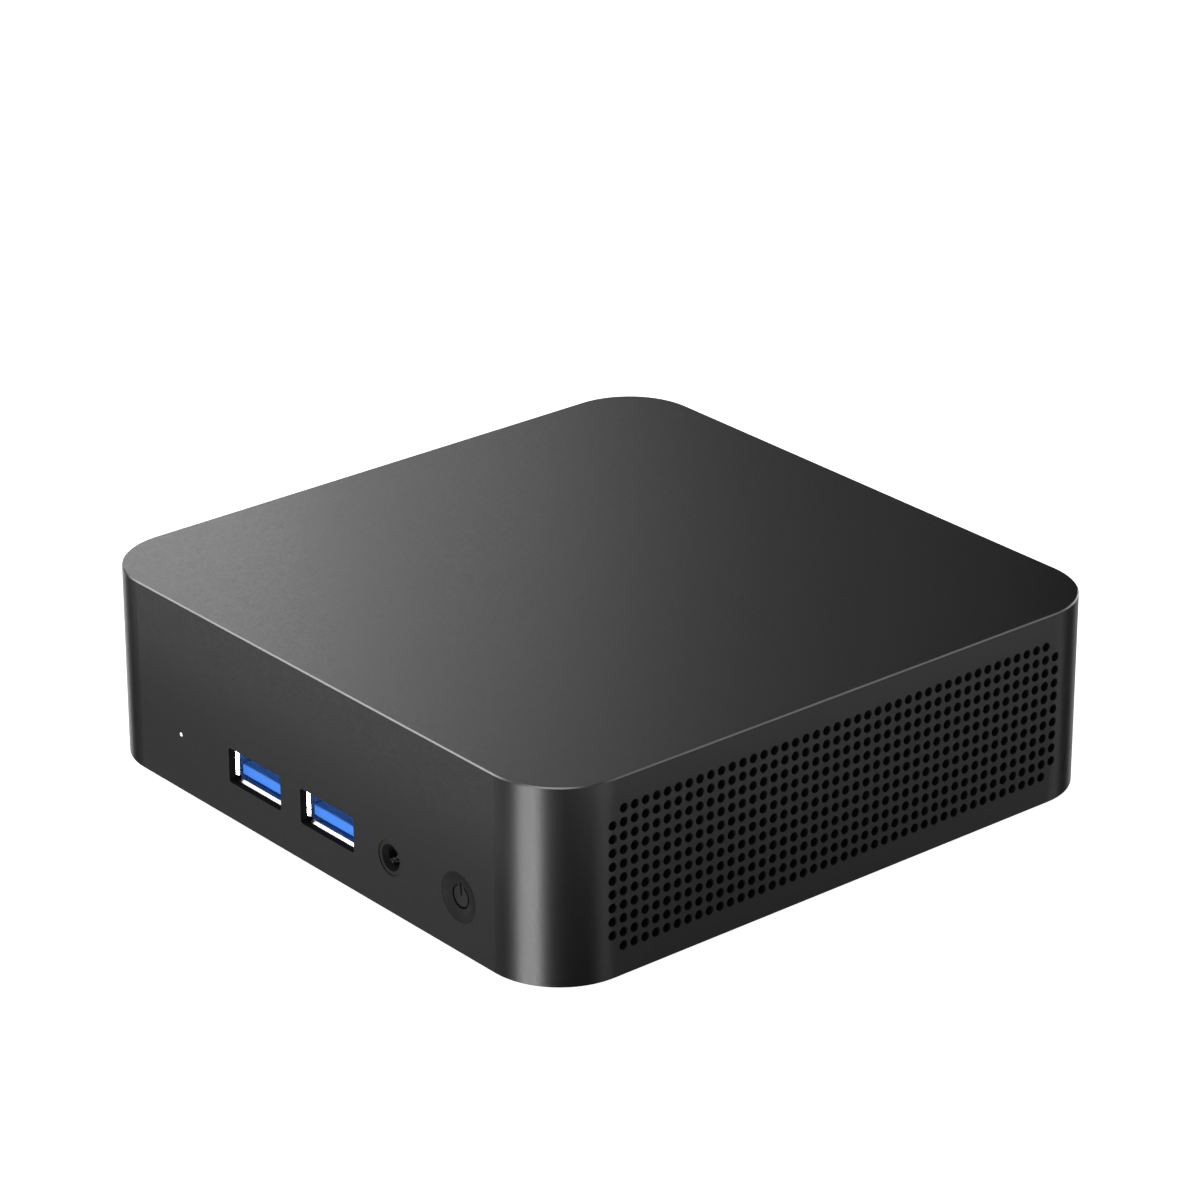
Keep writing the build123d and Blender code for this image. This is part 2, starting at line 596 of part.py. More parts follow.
# ---- rear connectors -----------------------------------------------------------------------------
COLLAR_START = 0.3       # collars and mouths that pass through the rear panel stop short of its face
DC_BLOCK = (9.0, 8.4)
DC_BLOCK_START = WALL + 0.9
DC_BLOCK_LENGTH = 13.0
DC_BORE_LENGTH = 11.0
DC_PIN_START = 2.3
with BuildPart() as dc_jack:
    with BuildSketch(rear_plane(DC_BLOCK_START)):
        with Locations((DC_X, DC_Z)):
            Rectangle(*DC_BLOCK)
    extrude(amount=DC_BLOCK_LENGTH)
    with BuildSketch(rear_plane(COLLAR_START)):
        with Locations((DC_X, DC_Z)):
            Circle(DC_COLLAR_RADIUS)
    extrude(amount=DC_BLOCK_START - COLLAR_START)
    with BuildSketch(rear_plane(COLLAR_START)):
        with Locations((DC_X, DC_Z)):
            Circle(DC_HOLE_RADIUS)
    extrude(amount=DC_BORE_LENGTH, mode=Mode.SUBTRACT)
dc_jack.part.label = "dc_jack"
export_step(dc_jack.part, "parts/dc_jack.step")

with BuildPart() as dc_jack_pin:
    with BuildSketch(rear_plane(DC_PIN_START)):
        with Locations((DC_X, DC_Z)):
            Circle(DC_PIN_RADIUS)
    extrude(amount=COLLAR_START + DC_BORE_LENGTH - DC_PIN_START)
dc_jack_pin.part.label = "dc_jack_pin"
export_step(dc_jack_pin.part, "parts/dc_jack_pin.step")

HDMI_MOUTH = 0.6
HDMI_DEPTH = 11.0
HDMI_SHEET = 0.35
HDMI_SLOPE = 1.9         # how far each lower corner is drawn in
HDMI_SHOULDER = 0.4      # the slope starts this far below the middle
HDMI_TONGUE = (10.4, 1.4)
HDMI_TONGUE_START = 1.0
HDMI_TONGUE_RISE = 0.35
for number, hdmi_x in enumerate(HDMI_X, 1):
    half_x = HDMI_OUTSIDE[0] / 2
    half_z = HDMI_OUTSIDE[1] / 2
    with BuildPart() as hdmi_shell:
        with BuildSketch(rear_plane(HDMI_MOUTH)):
            with BuildLine():
                Polyline(
                    (hdmi_x - half_x, HDMI_Z + half_z),
                    (hdmi_x + half_x, HDMI_Z + half_z),
                    (hdmi_x + half_x, HDMI_Z - HDMI_SHOULDER),
                    (hdmi_x + half_x - HDMI_SLOPE, HDMI_Z - half_z),
                    (hdmi_x - half_x + HDMI_SLOPE, HDMI_Z - half_z),
                    (hdmi_x - half_x, HDMI_Z - HDMI_SHOULDER),
                    close=True,
                )
            make_face()
        extrude(amount=HDMI_DEPTH)
        mouth_face = hdmi_shell.faces().sort_by(Axis.Y)[-1]
        with BuildSketch(Plane(mouth_face.center(), x_dir=(1, 0, 0), z_dir=(0, -1, 0))):
            add(mouth_face.moved(Location(-mouth_face.center())).rotate(Axis.X, 90))
            offset(amount=-HDMI_SHEET)
        extrude(amount=HDMI_DEPTH - HDMI_SHEET, mode=Mode.SUBTRACT)
    hdmi_shell.part.label = f"hdmi_{number}_shell"
    export_step(hdmi_shell.part, f"parts/hdmi_{number}_shell.step")

    with BuildPart() as hdmi_tongue:
        with BuildSketch(rear_plane(HDMI_MOUTH + HDMI_TONGUE_START)):
            with Locations((hdmi_x, HDMI_Z + HDMI_TONGUE_RISE)):
                Rectangle(*HDMI_TONGUE)
        extrude(amount=HDMI_DEPTH - HDMI_TONGUE_START - HDMI_SHEET)
    hdmi_tongue.part.label = f"hdmi_{number}_tongue"
    export_step(hdmi_tongue.part, f"parts/hdmi_{number}_tongue.step")

socket_z = LAN_Z - LAN_SOCKET_DROP
keyway_z = socket_z - (LAN_SOCKET[1] + LAN_KEYWAY[1]) / 2 + 0.3
with BuildPart() as lan_socket:
    with BuildSketch(rear_plane(COLLAR_START)):
        with Locations((LAN_X, LAN_Z)):
            Rectangle(LAN_BODY[0], LAN_BODY[1])
    extrude(amount=LAN_BODY[2])
    with BuildSketch(rear_plane(COLLAR_START)):
        with Locations((LAN_X, socket_z)):
            Rectangle(LAN_SOCKET[0], LAN_SOCKET[1])
        with Locations((LAN_X, keyway_z)):
            Rectangle(*LAN_KEYWAY)
    extrude(amount=LAN_SOCKET[2], mode=Mode.SUBTRACT)
lan_socket.part.label = "lan_socket"
export_step(lan_socket.part, "parts/lan_socket.step")

# ---- under the board: memory, drive, radio card, battery -----------------------------------------
SOCKET_DROP = 4.0
MEMORY_X = -8.0
MEMORY_Y = 32.0          # middle of the memory socket
MEMORY_SOCKET = (72.0, 6.0)
MEMORY_SLOT = (68.2, 3.2, 1.4)
MEMORY_SLOT_DROP = 1.9
MEMORY_MODULE = (67.6, 30.0, 1.2)
MEMORY_DROP = 2.0
MEMORY_CHIP = (10.0, 12.0, 1.0)
MEMORY_CHIP_PITCH = 15.6
with BuildPart() as memory_socket:
    with BuildSketch(Plane.XY.offset(BOARD_Z)):
        with Locations((MEMORY_X, MEMORY_Y)):
            Rectangle(*MEMORY_SOCKET)
    extrude(amount=-SOCKET_DROP)
    with BuildSketch(Plane.XY.offset(BOARD_Z - MEMORY_SLOT_DROP)):
        with Locations((MEMORY_X, MEMORY_Y - 2.4)):
            Rectangle(MEMORY_SLOT[0], MEMORY_SLOT[1])
    extrude(amount=-MEMORY_SLOT[2], mode=Mode.SUBTRACT)
memory_socket.part.label = "memory_socket"
export_step(memory_socket.part, "parts/memory_socket.step")

with BuildPart() as memory_module:
    with BuildSketch(Plane.XY.offset(BOARD_Z - MEMORY_DROP)):
        with Locations((MEMORY_X, MEMORY_Y - 16.0)):
            Rectangle(MEMORY_MODULE[0], MEMORY_MODULE[1])
    extrude(amount=-MEMORY_MODULE[2])
memory_module.part.label = "memory_module"
export_step(memory_module.part, "parts/memory_module.step")

with BuildPart() as memory_chips:
    with BuildSketch(Plane.XY.offset(BOARD_Z - MEMORY_DROP - MEMORY_MODULE[2])):
        with Locations((MEMORY_X, MEMORY_Y - 18.0)):
            with GridLocations(MEMORY_CHIP_PITCH, 1.0, 4, 1):
                Rectangle(MEMORY_CHIP[0], MEMORY_CHIP[1])
    extrude(amount=-MEMORY_CHIP[2])
memory_chips.part.label = "memory_chips"
export_step(memory_chips.part, "parts/memory_chips.step")

DRIVE_Y = -16.0
DRIVE_X = -1.4
DRIVE_CARD = (79.6, 20.2, 0.8)
DRIVE_SCREW_X = -41.2    # the half-round notch at the card's free end
DRIVE_DROP = 2.25
DRIVE_SOCKET_X = 40.0
DRIVE_SOCKET = (6.6, 22.0)
DRIVE_SLOT = (2.2, 20.4, 0.9)
DRIVE_CHIP_THICKNESS = 1.1
with BuildPart() as drive_socket:
    with BuildSketch(Plane.XY.offset(BOARD_Z)):
        with Locations((DRIVE_SOCKET_X, DRIVE_Y)):
            Rectangle(*DRIVE_SOCKET)
    extrude(amount=-SOCKET_DROP)
    with BuildSketch(Plane.XY.offset(BOARD_Z - DRIVE_DROP + SNUG)):
        with Locations((DRIVE_SOCKET_X - 2.3, DRIVE_Y)):
            Rectangle(DRIVE_SLOT[0], DRIVE_SLOT[1])
    extrude(amount=-DRIVE_SLOT[2], mode=Mode.SUBTRACT)
drive_socket.part.label = "drive_socket"
export_step(drive_socket.part, "parts/drive_socket.step")

with BuildPart() as drive_card:
    with BuildSketch(Plane.XY.offset(BOARD_Z - DRIVE_DROP)):
        with Locations((DRIVE_X, DRIVE_Y)):
            Rectangle(DRIVE_CARD[0], DRIVE_CARD[1])
        with Locations((DRIVE_SCREW_X, DRIVE_Y)):
            Circle(2.0, mode=Mode.SUBTRACT)
    extrude(amount=-DRIVE_CARD[2])
drive_card.part.label = "drive_card"
export_step(drive_card.part, "parts/drive_card.step")

drive_underside = BOARD_Z - DRIVE_DROP - DRIVE_CARD[2]
with BuildPart() as drive_chips:
    with BuildSketch(Plane.XY.offset(drive_underside)):
        with Locations((24.0, DRIVE_Y)):
            Rectangle(12.0, 12.0)
        with Locations((4.0, DRIVE_Y), (-20.0, DRIVE_Y)):
            Rectangle(16.0, 13.0)
    extrude(amount=-DRIVE_CHIP_THICKNESS)
drive_chips.part.label = "drive_chips"
export_step(drive_chips.part, "parts/drive_chips.step")

with BuildPart() as drive_standoff:
    with BuildSketch(Plane.XY.offset(BOARD_Z)):
        with Locations((DRIVE_SCREW_X, DRIVE_Y)):
            Circle(2.6)
    extrude(amount=-DRIVE_DROP)
drive_standoff.part.label = "drive_standoff"
export_step(drive_standoff.part, "parts/drive_standoff.step")

with BuildPart() as drive_screw:
    with BuildSketch(Plane.XY.offset(BOARD_Z - DRIVE_DROP)):
        with Locations((DRIVE_SCREW_X, DRIVE_Y)):
            Circle(1.5)
    extrude(amount=-DRIVE_CARD[2])
    with BuildSketch(Plane.XY.offset(drive_underside)):
        with Locations((DRIVE_SCREW_X, DRIVE_Y)):
            Circle(2.7)
    extrude(amount=-0.9)
drive_screw.part.label = "drive_screw"
export_step(drive_screw.part, "parts/drive_screw.step")

RADIO_PLACE = (-38.0, -36.0)
RADIO_CARD = (16.0, 12.0, 2.0)
RADIO_DROP = 1.5
with BuildPart() as wireless_card:
    with BuildSketch(Plane.XY.offset(BOARD_Z - RADIO_DROP)):
        with Locations(RADIO_PLACE):
            Rectangle(RADIO_CARD[0], RADIO_CARD[1])
    extrude(amount=-RADIO_CARD[2])
wireless_card.part.label = "wireless_card"
export_step(wireless_card.part, "parts/wireless_card.step")

BATTERY_PLACE = (30.0, -35.0)
CELL_RADIUS = 6.2
CELL_HEIGHT = 2.5
HOLDER_WALL = 1.6
with BuildPart() as battery_holder:
    with BuildSketch(Plane.XY.offset(BOARD_Z)):
        with Locations(BATTERY_PLACE):
            Circle(CELL_RADIUS + 4 * SNUG + HOLDER_WALL)
            Circle(CELL_RADIUS + 4 * SNUG, mode=Mode.SUBTRACT)
    extrude(amount=-(CELL_HEIGHT + 1.1))
battery_holder.part.label = "battery_holder"
export_step(battery_holder.part, "parts/battery_holder.step")

with BuildPart() as coin_cell:
    with BuildSketch(Plane.XY.offset(BOARD_Z - 0.8)):
        with Locations(BATTERY_PLACE):
            Circle(CELL_RADIUS)
    extrude(amount=-CELL_HEIGHT)
    chamfer(coin_cell.edges().group_by(Axis.Z)[0], 0.4)
coin_cell.part.label = "coin_cell"
export_step(coin_cell.part, "parts/coin_cell.step")

# ---- on top of the board: processor and power parts ----------------------------------------------
PACKAGE = (24.0, 28.0, 1.2)
DIE = (9.0, 10.0, 0.7)
with BuildPart() as processor_package:
    with BuildSketch(Plane.XY.offset(BOARD_TOP)):
        with Locations((CPU_X, CPU_Y)):
            Rectangle(PACKAGE[0], PACKAGE[1])
    extrude(amount=PACKAGE[2])
processor_package.part.label = "processor_package"
export_step(processor_package.part, "parts/processor_package.step")

with BuildPart() as processor_die:
    with BuildSketch(Plane.XY.offset(BOARD_TOP + PACKAGE[2])):
        with Locations((CPU_X, CPU_Y)):
            Rectangle(DIE[0], DIE[1])
    extrude(amount=DIE[2])
processor_die.part.label = "processor_die"
export_step(processor_die.part, "parts/processor_die.step")

CHOKE = (7.0, 7.0, 4.0)
CHOKE_PLACES = [(-44.0, -14.0), (-35.0, -14.0), (-26.0, -14.0)]
with BuildPart() as power_chokes:
    with BuildSketch(Plane.XY.offset(BOARD_TOP)):
        with Locations(*CHOKE_PLACES):
            RectangleRounded(CHOKE[0], CHOKE[1], 0.8)
    extrude(amount=CHOKE[2])
power_chokes.part.label = "power_chokes"
export_step(power_chokes.part, "parts/power_chokes.step")

CAPACITOR_RADIUS = 3.1
CAPACITOR_HEIGHT = 5.8
CAPACITOR_PLACES = [(-44.0, -24.0), (-36.0, -24.0), (-28.0, -24.0), (-20.0, -40.0), (-12.0, -40.0)]
with BuildPart() as capacitors:
    with BuildSketch(Plane.XY.offset(BOARD_TOP)):
        with Locations(*CAPACITOR_PLACES):
            Circle(CAPACITOR_RADIUS)
    extrude(amount=CAPACITOR_HEIGHT)
    fillet(capacitors.edges().group_by(Axis.Z)[-1], 0.4)
capacitors.part.label = "capacitors"
export_step(capacitors.part, "parts/capacitors.step")

# ---- cooler: cold plate, heat pipe, fins, blower -------------------------------------------------
PLATE_Z = BOARD_TOP + PACKAGE[2] + DIE[2]
PLATE = (22.0, 32.0, 1.6)
PIPE_WIDTH = 8.0
PIPE_HEIGHT = 2.6
PIPE_BEND = 14.0
pipe_base = PLATE_Z + PLATE[2]
pipe_z = pipe_base + PIPE_HEIGHT / 2
with BuildPart() as cold_plate:
    with BuildSketch(Plane.XY.offset(PLATE_Z)):
        with Locations((CPU_X, CPU_Y)):
            RectangleRounded(PLATE[0], PLATE[1], 1.0)
    extrude(amount=PLATE[2])
cold_plate.part.label = "cold_plate"
export_step(cold_plate.part, "parts/cold_plate.step")

FIN_Y = (39.0, 52.5)
FIN_THICKNESS = 0.4
FIN_BASE = 0.6
PIPE_Y = 46.0
pipe_start = (CPU_X, CPU_Y - 14.0, pipe_z)
pipe_end = (FIN_BLOCK_X + 26.0, PIPE_Y, pipe_z)
with BuildPart() as heat_pipe:
    with BuildLine():
        FilletPolyline(pipe_start, (CPU_X, PIPE_Y, pipe_z), pipe_end, radius=PIPE_BEND)
    with BuildSketch(Plane(pipe_start, x_dir=(1, 0, 0), z_dir=(0, 1, 0))):
        SlotOverall(PIPE_WIDTH, PIPE_HEIGHT)
    sweep()
heat_pipe.part.label = "heat_pipe"
export_step(heat_pipe.part, "parts/heat_pipe.step")

fin_base_z = pipe_base + PIPE_HEIGHT
fin_top = FAN_FLOOR + FAN_HEIGHT
fin_depth = FIN_Y[1] - FIN_Y[0]
with BuildPart() as fin_stack:
    with BuildSketch(Plane.XY.offset(fin_base_z)):
        with Locations((FIN_BLOCK_X, sum(FIN_Y) / 2)):
            Rectangle((FIN_COUNT - 1) * FIN_PITCH + FIN_THICKNESS, fin_depth)
    extrude(amount=FIN_BASE)
    with BuildSketch(Plane.XY.offset(fin_base_z)):
        with Locations((FIN_BLOCK_X, sum(FIN_Y) / 2)):
            with GridLocations(FIN_PITCH, 1.0, FIN_COUNT, 1):
                Rectangle(FIN_THICKNESS, fin_depth)
    extrude(amount=fin_top - fin_base_z)
fin_stack.part.label = "fin_stack"
export_step(fin_stack.part, "parts/fin_stack.step")

# the blower draws air from above and below its hub and blows it through the fins
OUTLET_Y = FIN_Y[0] - 0.5
FAN_SHEET = 1.0
FAN_WALL = 1.2
FAN_LID = 0.5
SPOKE_WIDTH = 4.0


def blower_outline(radius, outlet_y):
    """The round of the blower and the straight throat to its outlet, in the current sketch."""
    with Locations((FAN_X, FAN_Y)):
        Circle(radius)
    with Locations((FAN_X, (FAN_Y + outlet_y) / 2)):
        Rectangle(2 * radius, outlet_y - FAN_Y)


with BuildPart() as fan_housing:
    with BuildSketch(Plane.XY.offset(FAN_FLOOR)):
        blower_outline(FAN_OUTER_RADIUS, OUTLET_Y)
    extrude(amount=FAN_HEIGHT)
    with BuildSketch(Plane.XY.offset(FAN_FLOOR + FAN_SHEET)):
        blower_outline(FAN_OUTER_RADIUS - FAN_WALL, OUTLET_Y + 1.0)
    extrude(amount=FAN_HEIGHT - FAN_SHEET, mode=Mode.SUBTRACT)
    with BuildSketch(Plane.XY.offset(FAN_FLOOR)):
        with Locations((FAN_X, FAN_Y)):
            Circle(ROTOR_RADIUS - 4.0)
            Circle(HUB_RADIUS + 1.0, mode=Mode.SUBTRACT)
            Rectangle(2 * ROTOR_RADIUS, SPOKE_WIDTH, mode=Mode.SUBTRACT)
            Rectangle(SPOKE_WIDTH, 2 * ROTOR_RADIUS, mode=Mode.SUBTRACT)
    extrude(amount=FAN_SHEET, mode=Mode.SUBTRACT)
fan_housing.part.label = "fan_housing"
export_step(fan_housing.part, "parts/fan_housing.step")

with BuildPart() as fan_cover:
    with BuildSketch(Plane.XY.offset(FAN_FLOOR + FAN_HEIGHT)):
        blower_outline(FAN_OUTER_RADIUS, OUTLET_Y)
        with Locations((FAN_X, FAN_Y)):
            Circle(ROTOR_RADIUS - 3.0, mode=Mode.SUBTRACT)
    extrude(amount=FAN_LID)
fan_cover.part.label = "fan_cover"
export_step(fan_cover.part, "parts/fan_cover.step")

BEARING_RADIUS = 2.6
BEARING_HEIGHT = 6.0
STATOR_RADIUS = 8.0
STATOR_HEIGHT = 4.0
STATOR_POLES = 6
POLE_WIDTH = 3.0
ROTOR_GAP = 0.6          # between the rotor and the blower's floor and lid
with BuildPart() as fan_bearing:
    with BuildSketch(Plane.XY.offset(FAN_FLOOR + FAN_SHEET)):
        with Locations((FAN_X, FAN_Y)):
            Circle(BEARING_RADIUS)
            Circle(SHAFT_RADIUS + BEARING_CLEARANCE, mode=Mode.SUBTRACT)
    extrude(amount=BEARING_HEIGHT)
fan_bearing.part.label = "fan_bearing"
export_step(fan_bearing.part, "parts/fan_bearing.step")

rotor_bottom = FAN_FLOOR + FAN_SHEET + ROTOR_GAP
rotor_top = FAN_FLOOR + FAN_HEIGHT - ROTOR_GAP
with BuildPart() as fan_stator:
    with BuildSketch(Plane.XY.offset(rotor_bottom)):
        with Locations((FAN_X, FAN_Y)):
            Circle(BEARING_RADIUS + 1.0)
            with PolarLocations((BEARING_RADIUS + STATOR_RADIUS) / 2, STATOR_POLES):
                Rectangle(STATOR_RADIUS - BEARING_RADIUS, POLE_WIDTH)
            Circle(BEARING_RADIUS, mode=Mode.SUBTRACT)
    extrude(amount=STATOR_HEIGHT)
fan_stator.part.label = "fan_stator"
export_step(fan_stator.part, "parts/fan_stator.step")

HUB_WALL = 1.2
BLADE_THICKNESS = 0.7
BLADE_ROOT = 0.7         # how far each blade's middle moves in, so that its foot is inside the hub's wall
with BuildPart() as fan_rotor:
    with BuildSketch(Plane.XY.offset(rotor_bottom)):
        with Locations((FAN_X, FAN_Y)):
            Circle(HUB_RADIUS)
            Circle(HUB_RADIUS - HUB_WALL, mode=Mode.SUBTRACT)
    extrude(amount=rotor_top - rotor_bottom)
    with BuildSketch(Plane.XY.offset(rotor_top - HUB_WALL)):
        with Locations((FAN_X, FAN_Y)):
            Circle(HUB_RADIUS)
            Circle(SHAFT_RADIUS, mode=Mode.SUBTRACT)
    extrude(amount=HUB_WALL)
    with BuildSketch(Plane.XY.offset(rotor_bottom)):
        with Locations((FAN_X, FAN_Y)):
            with PolarLocations((HUB_RADIUS + ROTOR_RADIUS) / 2 - BLADE_ROOT, BLADES):
                Rectangle(ROTOR_RADIUS - HUB_RADIUS + 1.0, BLADE_THICKNESS, rotation=BLADE_ANGLE)
    extrude(amount=rotor_top - rotor_bottom - 1.0)
fan_rotor.part.label = "fan_rotor"
export_step(fan_rotor.part, "parts/fan_rotor.step")

with BuildPart() as fan_shaft:
    with BuildSketch(Plane.XY.offset(FAN_FLOOR + FAN_SHEET + 0.1)):
        with Locations((FAN_X, FAN_Y)):
            Circle(SHAFT_RADIUS)
    extrude(amount=rotor_top - FAN_FLOOR - FAN_SHEET - 0.1)
fan_shaft.part.label = "fan_shaft"
export_step(fan_shaft.part, "parts/fan_shaft.step")

FAN_POST_RADIUS = 2.5
FAN_POST_PLACES = [(FAN_X - 22.0, FAN_Y + 30.0), (FAN_X + 22.0, FAN_Y + 30.0), (FAN_X, FAN_Y - 23.0)]
with BuildPart() as fan_posts:
    with BuildSketch(Plane.XY.offset(BOARD_TOP)):
        with Locations(*FAN_POST_PLACES):
            Circle(FAN_POST_RADIUS)
    extrude(amount=FAN_FLOOR - BOARD_TOP)
fan_posts.part.label = "fan_posts"
export_step(fan_posts.part, "parts/fan_posts.step")

# the blower's lead is held between its wall and a connector on the board
CONNECTOR = (6.0, 4.4, 3.0)
CONNECTOR_X = 40.0
LEAD_RADIUS = 0.7
LEAD_BEND = 2.0
lead_z = FAN_FLOOR + 1.5
lead_exit = (FAN_X + FAN_OUTER_RADIUS, FAN_Y, lead_z)
connector_top = BOARD_TOP + CONNECTOR[2]
with BuildPart() as fan_connector:
    with BuildSketch(Plane.XY.offset(BOARD_TOP)):
        with Locations((CONNECTOR_X, FAN_Y)):
            Rectangle(CONNECTOR[0], CONNECTOR[1])
    extrude(amount=CONNECTOR[2])
    chamfer(fan_connector.edges().group_by(Axis.Z)[-1], 0.3)
fan_connector.part.label = "fan_connector"
export_step(fan_connector.part, "parts/fan_connector.step")

lead_corner = (CONNECTOR_X, FAN_Y, lead_z)
lead_foot = (CONNECTOR_X, FAN_Y, connector_top)
with BuildPart() as fan_lead:
    with BuildLine():
        FilletPolyline(lead_exit, lead_corner, lead_foot, radius=LEAD_BEND)
    with BuildSketch(Plane(lead_exit, x_dir=(0, 1, 0), z_dir=(1, 0, 0))):
        Circle(LEAD_RADIUS)
    sweep()
fan_lead.part.label = "fan_lead"
export_step(fan_lead.part, "parts/fan_lead.step")
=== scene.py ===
"""Looks of the mini PC: materials, fine detail, studio and camera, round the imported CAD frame. Metres."""
import json
import math
import random

import bmesh
import bpy
from mathutils import Matrix, Vector


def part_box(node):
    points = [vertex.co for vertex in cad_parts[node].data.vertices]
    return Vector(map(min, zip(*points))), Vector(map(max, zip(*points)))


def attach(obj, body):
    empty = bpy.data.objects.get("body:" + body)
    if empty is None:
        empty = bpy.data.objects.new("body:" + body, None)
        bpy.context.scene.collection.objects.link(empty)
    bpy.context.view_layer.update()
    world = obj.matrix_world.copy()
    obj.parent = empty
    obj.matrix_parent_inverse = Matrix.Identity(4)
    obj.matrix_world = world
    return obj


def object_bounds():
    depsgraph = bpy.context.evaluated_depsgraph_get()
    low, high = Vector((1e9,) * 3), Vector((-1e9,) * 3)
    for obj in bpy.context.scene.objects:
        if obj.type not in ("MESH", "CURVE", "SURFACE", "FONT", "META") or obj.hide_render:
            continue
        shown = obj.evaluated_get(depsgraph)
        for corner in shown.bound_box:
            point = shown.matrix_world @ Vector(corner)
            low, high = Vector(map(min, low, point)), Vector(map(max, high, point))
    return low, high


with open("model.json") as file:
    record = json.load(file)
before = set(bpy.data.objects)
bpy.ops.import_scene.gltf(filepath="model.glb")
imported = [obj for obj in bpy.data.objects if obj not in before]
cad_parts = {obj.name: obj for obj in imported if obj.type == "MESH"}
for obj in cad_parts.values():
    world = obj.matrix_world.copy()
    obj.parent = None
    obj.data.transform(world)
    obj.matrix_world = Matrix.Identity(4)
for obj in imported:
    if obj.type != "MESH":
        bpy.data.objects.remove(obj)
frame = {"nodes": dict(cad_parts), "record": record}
cad_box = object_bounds()

MM = 0.001
NODES = frame["nodes"]
LOW, HIGH = cad_box
CENTRE = (LOW + HIGH) / 2
random.seed(7)


# ---- node helpers --------------------------------------------------------------------------------
class Graph:
    """A material's node tree with short ways to add and join nodes."""

    def __init__(self, name):
        self.material = bpy.data.materials.new(name)
        self.material.use_nodes = True
        self.tree = self.material.node_tree
        self.shader = self.tree.nodes["Principled BSDF"]
        self.coordinates = self.add("ShaderNodeTexCoord").outputs["Object"]

    def add(self, kind, **settings):
        node = self.tree.nodes.new(kind)
        for key, value in settings.items():
            setattr(node, key, value)
        return node

    def join(self, output, target):
        self.tree.links.new(output, target)

    def noise(self, scale, detail=3.0, roughness=0.55, stretch=None):
        """Noise over the object, scale in features per metre; stretch scales it apart along X, Y and Z."""
        node = self.add("ShaderNodeTexNoise")
        node.inputs["Scale"].default_value = scale
        node.inputs["Detail"].default_value = detail
        node.inputs["Roughness"].default_value = roughness
        where = self.coordinates
        if stretch:
            mapping = self.add("ShaderNodeMapping")
            mapping.inputs["Scale"].default_value = stretch
            self.join(where, mapping.inputs["Vector"])
            where = mapping.outputs["Vector"]
        self.join(where, node.inputs["Vector"])
        return node.outputs["Fac"]

    def remap(self, value, low, high, new_low, new_high):
        node = self.add("ShaderNodeMapRange")
        node.inputs["From Min"].default_value = low
        node.inputs["From Max"].default_value = high
        node.inputs["To Min"].default_value = new_low
        node.inputs["To Max"].default_value = new_high
        self.join(value, node.inputs["Value"])
        return node.outputs["Result"]

    def math(self, operation, first, second=None):
        """Each value is a number or another node's output."""
        node = self.add("ShaderNodeMath", operation=operation)
        for socket, value in zip(node.inputs, (first, second)):
            if value is None:
                continue
            if isinstance(value, (int, float)):
                socket.default_value = value
            else:
                self.join(value, socket)
        return node.outputs["Value"]

    def mix(self, factor, first, second):
        """Colour mix; each colour is an (r, g, b) or another node's output."""
        node = self.add("ShaderNodeMix", data_type="RGBA")
        self.join(factor, node.inputs["Factor"])
        for socket, value in ((node.inputs["A"], first), (node.inputs["B"], second)):
            if isinstance(value, tuple):
                socket.default_value = (*value, 1.0)
            else:
                self.join(value, socket)
        return node.outputs["Result"]

    def mix_number(self, factor, first, second):
        """Mix of another node's output with a number; the node's first sockets are factor, -, A and B."""
        node = self.add("ShaderNodeMix", data_type="FLOAT")
        self.join(factor, node.inputs[0])
        self.join(first, node.inputs[2])
        node.inputs[3].default_value = second
        return node.outputs[0]

    def bump(self, height, strength, distance):
        node = self.add("ShaderNodeBump")
        node.inputs["Strength"].default_value = strength
        node.inputs["Distance"].default_value = distance
        self.join(height, node.inputs["Height"])
        self.join(node.outputs["Normal"], self.shader.inputs["Normal"])

    def set(self, **values):
        """Uniform values on the shader's own sockets; underscores stand for spaces."""
        for key, value in values.items():
            socket = self.shader.inputs[key.replace("_", " ")]
            socket.default_value = (*value, 1.0) if isinstance(value, tuple) else value


# ---- masks: 1 on one kind of face and 0 elsewhere ------------------------------------------------
STRAIGHT_HALF = 44 * MM          # half the straight run of a side, between its corners
WALL_DEPTH = 1.9 * MM            # from the front face to just past the back of its wall
OPENINGS_FROM = 4 * MM           # heights between which every front opening lies
OPENINGS_TO = 20 * MM
SYMBOL_FROM = 0.52 * MM          # depths behind the button's rim that only the engraving reaches
SYMBOL_TO = 1.0 * MM
LAN_HALF = 6.1 * MM              # half the width of the network socket's opening
LAN_RIM_UNDER = 0.9 * MM         # steel below, above and in front of the dark inside
LAN_RIM_OVER = 1.8 * MM
LAN_RIM_DEPTH = 0.3 * MM
COLLAR_DEPTH = 0.05 * MM
CHAMFER_BAND = 0.5 * MM          # reaches from the top face to below its chamfer
SQUARE_ON = 0.95                 # a face turned more squarely than this counts as flat


def facing(g, axis):
    """How squarely a face looks along an axis, 0 to 1 either way."""
    split = g.add("ShaderNodeSeparateXYZ")
    g.join(g.add("ShaderNodeNewGeometry").outputs["Normal"], split.inputs["Vector"])
    return g.math("ABSOLUTE", split.outputs[axis])


def place(g, axis):
    """The coordinate along an axis, in metres."""
    split = g.add("ShaderNodeSeparateXYZ")
    g.join(g.coordinates, split.inputs["Vector"])
    return split.outputs[axis]


def over(g, value, limit):
    return g.math("GREATER_THAN", value, limit)


def under(g, value, limit):
    return g.math("LESS_THAN", value, limit)


def all_of(g, *masks):
    result = masks[0]
    for mask in masks[1:]:
        result = g.math("MULTIPLY", result, mask)
    return result


def between(g, value, low, high):
    return all_of(g, over(g, value, low), under(g, value, high))


